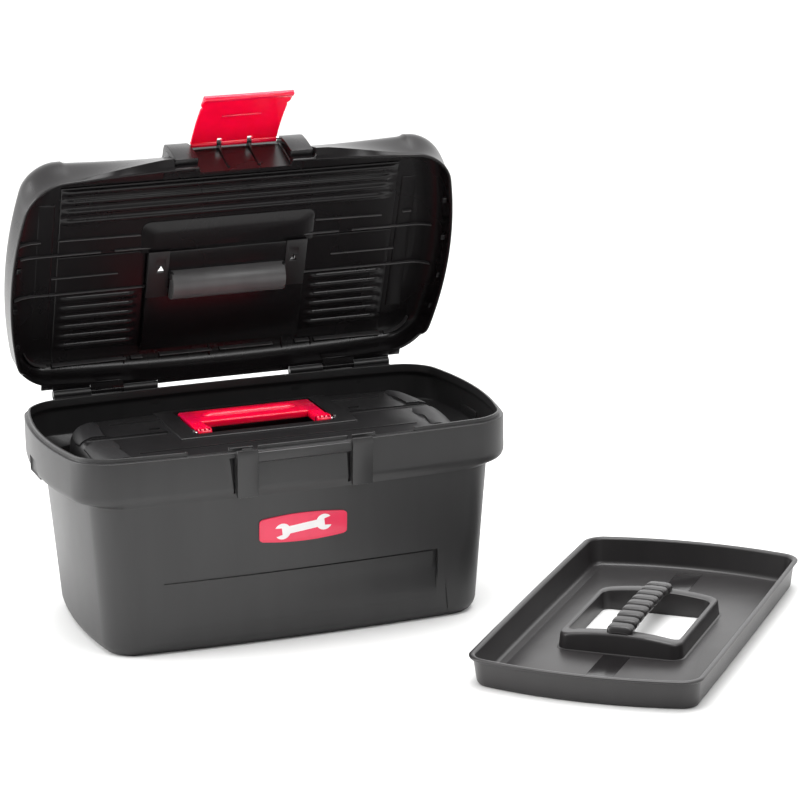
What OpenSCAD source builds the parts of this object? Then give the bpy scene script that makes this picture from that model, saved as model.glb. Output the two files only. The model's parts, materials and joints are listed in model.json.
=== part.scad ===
// Plastic toolbox with a leaning lid, a lift-out tray and a smaller tool case stored inside.
// Origin: centre of the toolbox's footprint on the floor. +X right, +Y to the hinges, +Z up.

/* [Toolbox] */
// Length of the rim
rim_l = 486; // [460:1:510]
// Depth of the rim, front to back
rim_d = 272; // [255:1:290]
// Height of the rim's ledge, where the lid sits
rim_z = 211; // [200:1:225]
// Thickness of the moulded walls
wall = 3; // [2.4:0.1:3.6]

/* [Lid] */
// How far the lid stands open at rest, in degrees
lid_open = 68.2; // [0:0.1:95]
// Height of the lid above the ledge
lid_h = 55; // [50:1:60]
// How far the latch is swung out from its locked place, in degrees
latch_open = 57; // [0:1:95]
// Length of the latch plate along its curve
latch_l = 86; // [82:1:90]

/* [Tray] */
// Length of the tray over its flange
tray_l = 449; // [436:1:452]
// Width of the tray over its flange
tray_w = 240.5; // [230:0.5:245]
// Height of the tray
tray_h = 31.6; // [28:0.1:36]
// Place of the tray's centre on the floor beside the box
tray_at = [326.4, -235.2]; // [-600:0.1:600]
// Direction of the tray's long side, in degrees from +X
tray_yaw = 49.5; // [40:0.1:60]

/* [Inner case] */
// Length of the inner case's rim
case_l = 400; // [380:1:404]
// Depth of the inner case's rim
case_d = 212; // [200:1:214]
// Height of the inner case's ledge above the floor
case_rim_z = 163; // [155:1:165]

/* [Hidden] */
$fn = 48;
gap = 0.3;                       // between bodies that move past each other
pin_gap = 0.05;                  // radial clearance of a pin in its hole

// Outlines: [length, depth, bow of the long sides, bow of the ends, corner radius]
rim = [rim_l, rim_d, 11, 21.5, 32];
body_head = [rim_l - 41, rim_d - 12, 10, 17, 30];
body_foot = [rim_l - 67, rim_d - 38.5, 9, 13, 26];
case_rim = [case_l, case_d, 9, 17, 26];
case_head = [case_l - 28, case_d - 18, 8, 14, 24];
case_foot = [case_l - 54, case_d - 40, 7, 11, 20];
tray_rim = [tray_l, tray_w, 1, 16, 18];
tray_head = [tray_l - 8, tray_w - 8, 1, 16, 15];
tray_foot = [tray_l - 18, tray_w - 13, 1, 15.5, 13.5];

// Toolbox hinge, latch and carry handle, with the lid closed
hinge_y = rim_d / 2 + 4;
hinge_z = rim_z + 5.5;
knuckle_r = 4.5;
hinge_pin_r = 2;
hinge_x = [75, 113, 149, 190];   // ends of the three knuckles on each side
lip_h = 4.5;
lip_inset = 3.6;
collar_z = rim_z - 49;           // where the collar starts to flare from the body
lid_z = rim_z + 0.4;             // lower edge of the lid
latch_w = 96;
latch_pivot = [-rim_d / 2 + 2.5, rim_z + 48];
latch_barrel_r = 3.5;
latch_pin_r = 1.5;
latch_lean = 17;                 // outward lean of the locked plate at its root
latch_turn = 18;                 // angle that the plate's arc covers
latch_t = 3;
lug_x = 16.5;
lug_w = 4.5;
boss_x = [50, 76];
recess_y = -rim_d / 2 + 7;
well_x = 86;
well_y = [-12, 108];
well_z = rim_z + 32;
trough = [27, 14.5, 60];         // y of its axis, radius and half length
handle_pivot = [9, rim_z + 43];
handle_pin_r = 2.5;
handle_arm_x = [78.5, 84];
handle_grip_y = [84, 92];
peep = [74, 8, 5.5];             // x, y and radius of the three-sided holes in the well's floor

// Tray
grip_w = 27;
tray_deck = [81, 65, 20];        // half length, half width and height of the raised frame
tray_window = [64, 58];          // half length and half width
tray_grip = [34.5, 30, 9];       // height at its middle and at its ends, and thickness

// Inner case
case_y = -3;
case_z = 3.4;                    // underside of the case, on the toolbox floor
case_hinge_y = case_y + case_d / 2 + 3.4;
case_hinge_z = case_rim_z + 4.5;
case_knuckle_r = 3.6;
case_hinge_pin_r = 1.5;
case_hinge_x = [60, 86, 114, 140];
case_lid_z = case_rim_z + 0.5;
case_lid_h = 36;
case_latch_pivot = [case_y - case_d / 2 - 3.5, case_rim_z + 25];
case_latch_w = 56;
case_well_x = 76;
case_well_y = [-14, 78];
case_well_z = case_rim_z + 23;
case_handle_pivot = [-3, case_rim_z + 35];
case_handle_pin_r = 2;

dark = "#38383a";
black = "#232325";
red = "#c8102e";
steel = "#b9bcc0";

// ---- Bowed outlines and shells ----

// The point that lies a inside the bowed end and b inside the bowed long side of outline o.
function bowed(o, a, b, x = 0, y = 0, n = 6) =
  n == 0 ? [x, y] :
  let (x2 = o[0] / 2 - o[3] * pow(2 * y / o[1], 2) - a)
  let (y2 = o[1] / 2 - o[2] * pow(2 * x2 / o[0], 2) - b)
  bowed(o, a, b, x2, y2, n - 1);

// One quarter of an outline, from the middle of its end round to the middle of its side.
function quarter(o) = let (r = o[4]) concat(
  [for (t = [1, 0.66, 0.33]) bowed(o, 0, r + (o[1] / 2 - r) * t)],
  [for (k = [0 : 6]) bowed(o, r * (1 - cos(15 * k)), r * (1 - sin(15 * k)))],
  [for (t = [0.2, 0.4, 0.6, 0.8]) bowed(o, r + (o[0] / 2 - r) * t, 0)]
);

function backwards(list) = [for (i = [len(list) - 1 : -1 : 0]) list[i]];

function outline(o) = let (q = quarter(o), top = [0, o[1] / 2]) concat(
  q,
  [top],
  [for (p = backwards([for (i = [1 : len(q) - 1]) q[i]])) [-p.x, p.y]],
  [for (p = q) [-p.x, -p.y]],
  [-top],
  [for (p = backwards([for (i = [1 : len(q) - 1]) q[i]])) [p.x, -p.y]]
);

function inset(o, t) = [o[0] - 2 * t, o[1] - 2 * t, o[2], o[3], max(o[4] - t, 2)];

// A solid through level rings, each given as [height, outline, inset].
module loft(levels) {
  rings = [for (l = levels) [for (p = outline(inset(l[1], l[2]))) [p.x, p.y, l[0]]]];
  n = len(rings[0]);
  last = (len(rings) - 1) * n;
  polyhedron(
    [for (ring = rings) for (p = ring) p],
    concat(
      [[for (i = [0 : n - 1]) i]],
      [[for (i = [n - 1 : -1 : 0]) last + i]],
      [for (k = [0 : len(rings) - 2]) for (i = [0 : n - 1])
        [k * n + i, (k + 1) * n + i, (k + 1) * n + (i + 1) % n]],
      [for (k = [0 : len(rings) - 2]) for (i = [0 : n - 1])
        [k * n + i, (k + 1) * n + (i + 1) % n, k * n + (i + 1) % n]]
    )
  );
}

// ---- Placing helpers ----

// Extrudes a profile drawn in Y and Z along X.
module along_x(x0, x1) translate([x0, 0, 0]) rotate([90, 0, 90]) linear_extrude(x1 - x0) children();

module rod(x0, x1, at, r) translate([x0, at[0], at[1]]) rotate([0, 90, 0]) cylinder(r = r, h = x1 - x0);

module both_sides() {
  children();
  mirror([1, 0, 0]) children();
}

// Turns the children about a line along X through [y, z].
module turned(at, angle) {
  translate([0, at[0], at[1]]) rotate([angle, 0, 0]) translate([0, -at[0], -at[1]]) children();
}

module with_lid() turned([hinge_y, hinge_z], -lid_open) children();

// A bar of round section between two points of the Y-Z plane.
module stadium(a, b, r) {
  d = b - a;
  translate(a) circle(r);
  translate(b) circle(r);
  translate(a) rotate(atan2(d.y, d.x)) translate([0, -r]) square([norm(d), 2 * r]);
}

// ---- Toolbox body ----

module hinge_leaf(profile, x0, x1, at, r) {
  along_x(x0, x1) polygon(profile);
  rod(x0, x1, at, r);
}

module tub_shell() {
  difference() {
    loft([
      [0, body_foot, 7],
      [2.6, body_foot, 2.6],
      [9, body_foot, 0],
      [collar_z, body_head, 0],
      [collar_z + 6, rim, 2.5],
      [collar_z + 11, rim, 0],
      [rim_z, rim, 0],
      [rim_z, rim, lip_inset],
      [rim_z + lip_h, rim, lip_inset]
    ]);
    loft([
      [wall, body_foot, 3 * wall],
      [11, body_foot, wall],
      [collar_z + 3, body_head, wall],
      [collar_z + 14, rim, wall],
      [rim_z - 8, rim, wall],
      [rim_z - 4, rim, lip_inset + 2.4],
      [rim_z + lip_h + 1, rim, lip_inset + 2.4]
    ]);
  }
}

// Raised pads on the collar, either side of the latch.
module tub_pads() {
  y = -rim_d / 2;
  both_sides() along_x(boss_x[0], boss_x[1] - 4) polygon([
    [y + 6, collar_z + 12], [y - 1, collar_z + 6], [y - 6, rim_z - 6], [y - 6, rim_z + 3],
    [y - 1, rim_z + 3], [y - 1, rim_z - 0.5], [y + 2, rim_z - 0.5]
  ]);
}

// Lip that the latch's hook goes under.
module catch_lip() {
  translate([-latch_w / 2 + 2, -rim_d / 2 - 4, rim_z - 11]) cube([latch_w - 4, 6, 10.5]);
}

module badge_place() {
  lean = atan2((body_head[1] - body_foot[1]) / 2, collar_z - 9);
  z = 123.5;
  y = -body_foot[1] / 2 - (z - 9) * tan(lean);
  translate([0, y, z]) rotate([90 + lean, 0, 0]) children();
}

module rounded_plate(w, h, t, r) {
  linear_extrude(t) {
    square([w - 2 * r, h], center = true);
    square([w, h - 2 * r], center = true);
    for (x = [-1, 1], y = [-1, 1]) translate([x * (w / 2 - r), y * (h / 2 - r)]) circle(r);
  }
}

module tub() color(dark) difference() {
  union() {
    tub_shell();
    tub_pads();
    catch_lip();
    both_sides() for (k = [0, 2]) hinge_leaf(
      [[hinge_y - 12, rim_z - 14], [hinge_y - 5, rim_z - 16], [hinge_y + 3.2, hinge_z - 3.2],
        [hinge_y, hinge_z], [hinge_y - 12, rim_z - 0.1]],
      hinge_x[k], hinge_x[k + 1] - (k == 0 ? gap : 0), [hinge_y, hinge_z], knuckle_r
    );
  }
  both_sides() rod(hinge_x[0] - 1, hinge_x[3] + 1, [hinge_y, hinge_z], hinge_pin_r + pin_gap);
  badge_place() translate([0, 0, -0.8]) rounded_plate(97, 34, 5, 9);
}

module badge() color(red) badge_place() translate([0, 0, -0.75]) rounded_plate(94, 31, 1.6, 8);

module hinge_pin() color(steel) {
  rod(hinge_x[0] + 0.5, hinge_x[3] - 0.5, [hinge_y, hinge_z], hinge_pin_r);
}

module hinge_pin_left() mirror([1, 0, 0]) hinge_pin();
module hinge_pin_right() hinge_pin();

// ---- Toolbox lid ----

module lid_shell() {
  top = lid_z + lid_h;
  difference() {
    loft([
      [lid_z, rim, 0],
      [top - 28, rim, 1],
      [top - 17, rim, 4],
      [top - 9, rim, 10],
      [top - 3.5, rim, 18],
      [top, rim, 29]
    ]);
    loft([
      [lid_z - 1, rim, wall],
      [top - 29, rim, wall + 0.8],
      [top - 18.5, rim, wall + 4],
      [top - 11, rim, wall + 10],
      [top - 6, rim, wall + 18],
      [top - wall, rim, wall + 28]
    ]);
    translate([-rim_l / 2, hinge_y - 30, lid_z - 1]) cube([rim_l, 40, hinge_z - lid_z + 1.5]);
    translate([-boss_x[0], -rim_d / 2 - 20, lid_z - 1])
      cube([2 * boss_x[0], recess_y + rim_d / 2 + 20, lid_h + 4]);
  }
}

// Blocks either side of the latch, which hold its pin.
module latch_bosses() {
  y = -rim_d / 2;
  both_sides() along_x(boss_x[0], boss_x[1]) polygon([
    [y + 3, rim_z + 3.6], [y - 5, rim_z + 3.6], [y - 5.5, rim_z + 40], [y - 3.5, rim_z + 46],
    [y + 1.5, rim_z + 52], [y + 8, lid_z + lid_h - 2], [y + 22, lid_z + lid_h - 3],
    [y + 22, lid_z + lid_h - 8], [y + 6, rim_z + 38]
  ]);
}

module latch_recess() {
  translate([-boss_x[0] - 1, recess_y, lid_z]) cube([2 * boss_x[0] + 2, wall, 40]);
  along_x(-boss_x[0] - 1, boss_x[0] + 1) polygon([
    [recess_y, rim_z + 38], [recess_y + wall, rim_z + 36],
    [recess_y + 17, lid_z + lid_h - 6], [recess_y + 15, lid_z + lid_h - 2.5], [recess_y, lid_z + lid_h - 9]
  ]);
}

// Ears that stand out of the recess through the slots in the latch.
module latch_lugs() {
  both_sides() along_x(lug_x - lug_w / 2, lug_x + lug_w / 2) translate(latch_pivot) {
    circle(3);
    polygon([[0, 2.4], [0, -2.4], [6, -5], [6, 0.5]]);
  }
}

// The recess on top of the lid that the carry handle folds into, with a finger trough in its
// floor: skin is its outer skin's thickness, and 0 gives the space inside.
module handle_well(skin) {
  rise = skin > 0 ? lid_z + lid_h - 1.8 - well_z : lid_h;
  translate([-well_x - skin, well_y[0] - skin, well_z - skin])
    cube([2 * (well_x + skin), well_y[1] - well_y[0] + 2 * skin, rise + skin]);
  rod(-trough[2] - skin, trough[2] + skin, [trough[0], well_z - 1.5], trough[1] + skin);
}

module lid() color(black) with_lid() difference() {
  union() {
    lid_shell();
    latch_bosses();
    latch_recess();
    latch_lugs();
    handle_well(2.5);
    both_sides() hinge_leaf(
      [[hinge_y - 11, hinge_z + 1.5], [hinge_y - 3, hinge_z - 3.3], [hinge_y + 3.4, hinge_z + 2.9],
        [hinge_y - 7, hinge_z + 13.5], [hinge_y - 11, hinge_z + 13.5]],
      hinge_x[1], hinge_x[2] - gap, [hinge_y, hinge_z], knuckle_r
    );
  }
  handle_well(0);
  both_sides() rod(hinge_x[0], hinge_x[3], [hinge_y, hinge_z], hinge_pin_r + pin_gap);
  rod(-boss_x[1] + 8, boss_x[1] - 8, latch_pivot, latch_pin_r + pin_gap);
  both_sides() rod(well_x - 1, well_x + 4, handle_pivot, handle_pin_r + pin_gap);
  both_sides() translate([peep[0], peep[1], well_z - 5]) rotate(30) cylinder(r = peep[2], h = 10, $fn = 3);
}

module latch_pin() color(steel) with_lid() rod(-boss_x[1] + 9, boss_x[1] - 9, latch_pivot, latch_pin_r);

module carry_handle_pin() color(steel) with_lid() {
  rod(handle_arm_x[0] + 1, well_x + 2.4, handle_pivot, handle_pin_r);
}

module carry_handle_pin_left() mirror([1, 0, 0]) carry_handle_pin();
module carry_handle_pin_right() carry_handle_pin();

// ---- Latch ----

// The locked latch's section: a barrel, a plate on a shallow arc, a hook rib and a thick tip.
module latch_section() {
  bend = latch_l / latch_turn * 180 / PI;
  centre = [bend * cos(latch_lean), -bend * sin(latch_lean)];
  circle(latch_barrel_r);
  translate(centre) intersection() {
    difference() {
      circle(bend + latch_t / 2, $fn = 360);
      circle(bend - latch_t / 2, $fn = 360);
    }
    polygon([
      [0, 0],
      2 * bend * [-cos(latch_lean), sin(latch_lean)],
      2 * bend * [-cos(latch_lean - latch_turn), sin(latch_lean - latch_turn)]
    ]);
  }
}

module latch() color(red) with_lid() turned(latch_pivot, -latch_open) difference() {
  union() {
    along_x(-latch_w / 2, latch_w / 2) translate(latch_pivot) latch_section();
    along_x(-latch_w / 2 + 4, latch_w / 2 - 4) translate(latch_pivot) polygon([
      [-11.5, -65], [-5.1, -62.5], [-5.1, -59.7], [-11, -58.5]
    ]);
    along_x(-latch_w / 2, latch_w / 2) translate(latch_pivot + [-12.6, -83]) circle(2.6);
  }
  rod(-latch_w, latch_w, latch_pivot, latch_pin_r + pin_gap);
  both_sides() translate([lug_x - lug_w / 2 - 0.8, latch_pivot[0] - 6.5, latch_pivot[1] - 12])
    cube([lug_w + 1.6, 14, 18]);
}

// ---- Carry handle ----

module carry_handle() color(black) with_lid() difference() {
  union() {
    both_sides() along_x(handle_arm_x[0], handle_arm_x[1]) {
      stadium(handle_pivot, [handle_grip_y[1], handle_pivot[1]], 6);
      translate(handle_pivot) circle(8);
    }
    along_x(-handle_arm_x[1], handle_arm_x[1])
      stadium([handle_grip_y[0], handle_pivot[1]], [handle_grip_y[1], handle_pivot[1]], 7.5);
  }
  rod(-well_x, well_x, handle_pivot, handle_pin_r + pin_gap);
}

// ---- Tray ----

// Profile of the arched grip, along the tray and upwards.
module grip_arch() {
  rise = tray_grip[0] - tray_grip[1];
  span = tray_deck[0] - 2;
  bend = (span * span + rise * rise) / (2 * rise);
  intersection() {
    translate([0, tray_grip[0] - bend]) difference() {
      circle(bend, $fn = 360);
      circle(bend - tray_grip[2], $fn = 360);
    }
    translate([-span, tray_deck[2] - 8]) square([2 * span, 30]);
  }
  for (side = [-1, 1])
    translate([side * (span + tray_window[0]) / 2, tray_deck[2] + 2.5])
      square([span - tray_window[0], 8], center = true);
}

module tray_deck_block(t) {
  u = tray_deck[0] - t;
  v = tray_deck[1] - t;
  translate([-u, -v, t > 0 ? -1 : 1]) cube([2 * u, 2 * v, tray_deck[2] - t + (t > 0 ? 1 : -1)]);
}

// The opening that the hand reaches through to hold the grip.
module tray_opening() {
  translate([-tray_window[0], -tray_window[1], -2]) cube([2 * tray_window[0], 2 * tray_window[1], 40]);
}

module tray() color("#48464a") translate([tray_at.x, tray_at.y, 0]) rotate(tray_yaw) {
  difference() {
    union() {
      difference() {
        loft([
          [0, tray_foot, 0],
          [tray_h - 2.4, tray_head, 0],
          [tray_h - 2.2, tray_rim, 0],
          [tray_h, tray_rim, 0]
        ]);
        loft([
          [2.6, tray_foot, 2.6],
          [tray_h + 1, tray_head, 2.4]
        ]);
      }
      tray_deck_block(0);
    }
    tray_deck_block(2.5);
    tray_opening();
  }
  rotate([90, 0, 0]) translate([0, 0, -grip_w / 2]) linear_extrude(grip_w) grip_arch();
}

// ---- Inner case ----

module case_tub_shell() translate([0, case_y, 0]) difference() {
  t = wall - 0.4;
  loft([
    [case_z, case_foot, 6],
    [case_z + 2.4, case_foot, 2],
    [case_z + 7, case_foot, 0],
    [case_rim_z - 29, case_head, 0],
    [case_rim_z - 23, case_rim, 2],
    [case_rim_z - 19, case_rim, 0],
    [case_rim_z, case_rim, 0],
    [case_rim_z, case_rim, 3.2],
    [case_rim_z + 3.5, case_rim, 3.2]
  ]);
  loft([
    [case_z + t, case_foot, 8],
    [case_z + 9, case_foot, t],
    [case_rim_z - 26, case_head, t],
    [case_rim_z - 16, case_rim, t],
    [case_rim_z - 7, case_rim, t],
    [case_rim_z - 4, case_rim, 5.4],
    [case_rim_z + 5, case_rim, 5.4]
  ]);
}

module case_tub() color(dark) difference() {
  union() {
    case_tub_shell();
    translate([-26, case_y - case_d / 2 - 2.2, case_rim_z - 6]) cube([52, 5, 5.4]);
    both_sides() for (k = [0, 2]) hinge_leaf(
      [[case_hinge_y - 9, case_rim_z - 10], [case_hinge_y - 4, case_rim_z - 12],
        [case_hinge_y + 2.6, case_hinge_z - 2.6], [case_hinge_y, case_hinge_z],
        [case_hinge_y - 9, case_rim_z - 0.1]],
      case_hinge_x[k], case_hinge_x[k + 1] - (k == 0 ? gap : 0),
      [case_hinge_y, case_hinge_z], case_knuckle_r
    );
  }
  both_sides() rod(case_hinge_x[0] - 1, case_hinge_x[3] + 1,
    [case_hinge_y, case_hinge_z], case_hinge_pin_r + pin_gap);
}

module case_hinge_pin() color(steel) {
  rod(case_hinge_x[0] + 0.5, case_hinge_x[3] - 0.5, [case_hinge_y, case_hinge_z], case_hinge_pin_r);
}

module case_hinge_pin_left() mirror([1, 0, 0]) case_hinge_pin();
module case_hinge_pin_right() case_hinge_pin();

module case_lid_shell() {
  top = case_lid_z + case_lid_h - 0.5;
  difference() {
    translate([0, case_y, 0]) difference() {
      loft([
        [case_lid_z, case_rim, 0],
        [top - 17, case_rim, 1],
        [top - 9, case_rim, 4],
        [top - 3, case_rim, 10],
        [top, case_rim, 19]
      ]);
      loft([
        [case_lid_z - 1, case_rim, 2.6],
        [top - 18, case_rim, 3.4],
        [top - 11, case_rim, 6.5],
        [top - 6, case_rim, 12],
        [top - 2.6, case_rim, 21]
      ]);
    }
    translate([-case_l / 2, case_hinge_y - 26, case_lid_z - 1])
      cube([case_l, 40, case_hinge_z - case_lid_z + 1.5]);
  }
}

// The recess in the case lid that its handle folds into: skin as in handle_well().
module case_handle_well(skin) {
  rise = skin > 0 ? case_lid_z + case_lid_h - 2.2 - case_well_z : 40;
  translate([-case_well_x - skin, case_well_y[0] - skin, case_well_z - skin])
    cube([2 * (case_well_x + skin), case_well_y[1] - case_well_y[0] + 2 * skin, rise + skin]);
}

// Ears at the ends of the recess, which hold the handle's pins.
module case_handle_ears() {
  both_sides() along_x(case_well_x, case_well_x + 2.5) {
    translate(case_handle_pivot) circle(5);
    translate(case_handle_pivot - [5, 8]) square([10, 8]);
  }
}

module case_lid() color(black) difference() {
  union() {
    case_lid_shell();
    case_handle_well(2.5);
    case_handle_ears();
    both_sides() along_x(12, 16) polygon([
      case_latch_pivot + [-2.8, -1], case_latch_pivot + [0, -3], case_latch_pivot + [8, -3],
      case_latch_pivot + [8, 2.5], case_latch_pivot + [0, 3], case_latch_pivot + [-2.8, 1]
    ]);
    both_sides() hinge_leaf(
      [[case_hinge_y - 8, case_hinge_z + 1.5], [case_hinge_y - 2.4, case_hinge_z - 2.6],
        [case_hinge_y + 2.7, case_hinge_z + 2.3], [case_hinge_y - 5, case_hinge_z + 10],
        [case_hinge_y - 8, case_hinge_z + 10]],
      case_hinge_x[1], case_hinge_x[2] - gap, [case_hinge_y, case_hinge_z], case_knuckle_r
    );
  }
  case_handle_well(0);
  both_sides() rod(case_hinge_x[0], case_hinge_x[3],
    [case_hinge_y, case_hinge_z], case_hinge_pin_r + pin_gap);
  rod(-24, 24, case_latch_pivot, 1 + pin_gap);
  both_sides() rod(case_well_x - 1, case_well_x + 4, case_handle_pivot, case_handle_pin_r + pin_gap);
}

module case_latch_pin() color(steel) rod(-24, 24, case_latch_pivot, 1);

module case_handle_pin() color(steel) {
  rod(63, case_well_x + 2.4, case_handle_pivot, case_handle_pin_r);
}

module case_handle_pin_left() mirror([1, 0, 0]) case_handle_pin();
module case_handle_pin_right() case_handle_pin();

module case_latch() color(red) difference() {
  union() {
    rod(-case_latch_w / 2, case_latch_w / 2, case_latch_pivot, 2.6);
    along_x(-case_latch_w / 2, case_latch_w / 2) translate(case_latch_pivot) polygon([
      [-2.6, 0], [0, 0], [-0.4, -30], [0.4, -31.5], [0.4, -35], [-0.6, -37], [-0.8, -41], [-3.2, -41], [-3.4, -28]
    ]);
  }
  rod(-case_latch_w, case_latch_w, case_latch_pivot, 1 + pin_gap);
  both_sides() translate([11.2, case_latch_pivot[0] - 5, case_latch_pivot[1] - 8]) cube([5.6, 12, 14]);
}

module case_handle() color(red) difference() {
  union() {
    both_sides() along_x(58, 73) {
      stadium(case_handle_pivot, [66, case_handle_pivot[1]], 4);
      translate(case_handle_pivot) circle(5.5);
    }
    along_x(-73, 73) {
      stadium([30, case_handle_pivot[1]], [66, case_handle_pivot[1]], 4);
      translate([50, case_handle_pivot[1] + 1]) circle(6.5);
    }
  }
  rod(-case_well_x, case_well_x, case_handle_pivot, case_handle_pin_r + pin_gap);
}

tub();
badge();
hinge_pin_left();
hinge_pin_right();
lid();
latch_pin();
carry_handle_pin_left();
carry_handle_pin_right();
latch();
carry_handle();
tray();
case_tub();
case_hinge_pin_left();
case_hinge_pin_right();
case_lid();
case_latch_pin();
case_handle_pin_left();
case_handle_pin_right();
case_latch();
case_handle();
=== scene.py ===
import json
import math

import bmesh
import bpy
from mathutils import Matrix, Vector


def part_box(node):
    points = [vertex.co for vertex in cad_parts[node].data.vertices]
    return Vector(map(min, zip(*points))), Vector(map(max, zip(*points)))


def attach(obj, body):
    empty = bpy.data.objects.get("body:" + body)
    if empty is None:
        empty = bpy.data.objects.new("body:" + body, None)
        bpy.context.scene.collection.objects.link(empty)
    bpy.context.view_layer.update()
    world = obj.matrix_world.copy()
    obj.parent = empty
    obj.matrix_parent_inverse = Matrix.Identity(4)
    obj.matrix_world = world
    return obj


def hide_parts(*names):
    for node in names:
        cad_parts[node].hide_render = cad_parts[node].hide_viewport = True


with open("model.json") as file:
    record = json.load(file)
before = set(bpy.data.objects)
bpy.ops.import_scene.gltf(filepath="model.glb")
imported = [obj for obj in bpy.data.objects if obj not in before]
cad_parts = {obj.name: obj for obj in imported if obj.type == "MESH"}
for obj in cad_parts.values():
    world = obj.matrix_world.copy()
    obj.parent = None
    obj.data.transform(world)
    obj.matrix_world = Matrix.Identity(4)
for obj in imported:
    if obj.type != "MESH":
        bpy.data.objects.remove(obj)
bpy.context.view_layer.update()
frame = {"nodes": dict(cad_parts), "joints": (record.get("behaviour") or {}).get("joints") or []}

# Shapes are drawn in millimetres. The lid, its latch and its handle are drawn with the lid closed
# and the latch locked, and then turned to their places by the joints' own pivots and angles.
MM = 0.001
JOINTS = {j["name"]: j for j in frame["joints"]}


def pivot(joint):
    """A joint's place, in millimetres."""
    return Vector(JOINTS[joint]["pos_m"]) / MM


def lowest(joint):
    """A hinge's low limit, in radians, turned about +X."""
    limit = math.radians(JOINTS[joint]["range_deg"][0])
    return limit * JOINTS[joint]["axis"][0]


def size_of(node):
    low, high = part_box(node)
    return (high - low) / MM


def about(point, angle):
    """A turn about the line along X through point."""
    return Matrix.Translation(point) @ Matrix.Rotation(angle, 4, "X") @ Matrix.Translation(-point)


def put(shader_node, name, value):
    """Sets one input of a shader node."""
    shader_node.inputs[name].default_value = value


# ---- Camera, light and floor ----

LOOK_AT = Vector((0.1528, 0.0, 0.2091))
CAMERA_HEADING, CAMERA_PITCH, CAMERA_ROLL = (math.radians(a) for a in (19.96, 14.89, -0.89))
CAMERA_DISTANCE = 3.317
LENS_MM = 140.5


def make_camera():
    camera = bpy.data.objects.new("camera", bpy.data.cameras.new("camera"))
    bpy.context.scene.collection.objects.link(camera)
    camera.data.lens = LENS_MM
    camera.data.sensor_width = 36
    camera.data.clip_end = 60
    turn = (
        Matrix.Rotation(-CAMERA_HEADING, 4, "Z")
        @ Matrix.Rotation(math.pi / 2 - CAMERA_PITCH, 4, "X")
        @ Matrix.Rotation(CAMERA_ROLL, 4, "Z")
    )
    camera.matrix_world = Matrix.Translation(LOOK_AT) @ turn @ Matrix.Translation((0, 0, CAMERA_DISTANCE))
    bpy.context.scene.camera = camera
    bpy.context.scene.view_settings.view_transform = "Standard"


def area_light(name, place, target, size, power):
    lamp = bpy.data.lights.new(name, "AREA")
    lamp.shape = "RECTANGLE"
    lamp.size, lamp.size_y = size
    lamp.energy = power
    holder = bpy.data.objects.new(name, lamp)
    bpy.context.scene.collection.objects.link(holder)
    holder.location = place
    holder.rotation_euler = (Vector(target) - Vector(place)).to_track_quat("-Z", "Y").to_euler()


def make_world():
    """A pale studio: bright behind and above the object, dimmer on the camera's side."""
    world = bpy.data.worlds.new("studio")
    bpy.context.scene.world = world
    world.use_nodes = True
    nodes, links = world.node_tree.nodes, world.node_tree.links
    direction = nodes.new("ShaderNodeTexCoord")
    towards = nodes.new("ShaderNodeVectorMath")
    towards.operation = "DOT_PRODUCT"
    put(towards, 1, (-0.10, 0.86, 0.50))
    back = nodes["Background"]
    put(back, "Color", (1.0, 1.0, 1.0, 1))
    links.new(direction.outputs["Generated"], towards.inputs[0])
    level = ranged(nodes, links, towards.outputs["Value"], 0.08, 1.8, -0.35, 0.65, "SMOOTHSTEP")
    links.new(level, back.inputs["Strength"])


def make_floor():
    mesh = bpy.data.meshes.new("floor")
    reach = 14.0
    corners = [(-reach, -reach, 0), (reach, -reach, 0), (reach, reach, 0), (-reach, reach, 0)]
    mesh.from_pydata(corners, [], [(0, 1, 2, 3)])
    floor = bpy.data.objects.new("floor", mesh)
    bpy.context.scene.collection.objects.link(floor)
    material = bpy.data.materials.new("floor_paint")
    material.use_nodes = True
    shader = material.node_tree.nodes["Principled BSDF"]
    put(shader, "Base Color", (0.78, 0.78, 0.775, 1))
    put(shader, "Roughness", 0.6)
    put(shader, "Specular IOR Level", 0.2)
    mesh.materials.append(material)


# ---- Materials ----


def new_material(name):
    material = bpy.data.materials.new(name)
    material.use_nodes = True
    nodes = material.node_tree.nodes
    return material, nodes, material.node_tree.links, nodes["Principled BSDF"]


def noise_of(nodes, links, coords, scale, detail=3.0, stretch=None):
    noise = nodes.new("ShaderNodeTexNoise")
    put(noise, "Scale", scale)
    put(noise, "Detail", detail)
    if stretch:
        mapping = nodes.new("ShaderNodeMapping")
        put(mapping, "Scale", stretch)
        links.new(coords, mapping.inputs["Vector"])
        coords = mapping.outputs["Vector"]
    links.new(coords, noise.inputs["Vector"])
    return noise.outputs["Fac"]


def ranged(nodes, links, value, low, high, start=0.3, end=0.7, kind="LINEAR"):
    level = nodes.new("ShaderNodeMapRange")
    level.interpolation_type = kind
    put(level, "From Min", start)
    put(level, "From Max", end)
    put(level, "To Min", low)
    put(level, "To Max", high)
    links.new(value, level.inputs["Value"])
    return level.outputs["Result"]


def tinted(nodes, links, share, first, second):
    """A colour between two others, by share."""
    tint = nodes.new("ShaderNodeMix")
    tint.data_type = "RGBA"
    put(tint, "A", (*first, 1))
    put(tint, "B", (*second, 1))
    links.new(share, tint.inputs["Factor"])
    return tint.outputs["Result"]


def bumped(nodes, links, height, strength, distance, under=None):
    """A bump map, laid over another where under is given."""
    bump = nodes.new("ShaderNodeBump")
    put(bump, "Strength", strength)
    put(bump, "Distance", distance)
    links.new(height, bump.inputs["Height"])
    if under:
        links.new(under, bump.inputs["Normal"])
    return bump.outputs["Normal"]


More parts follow.
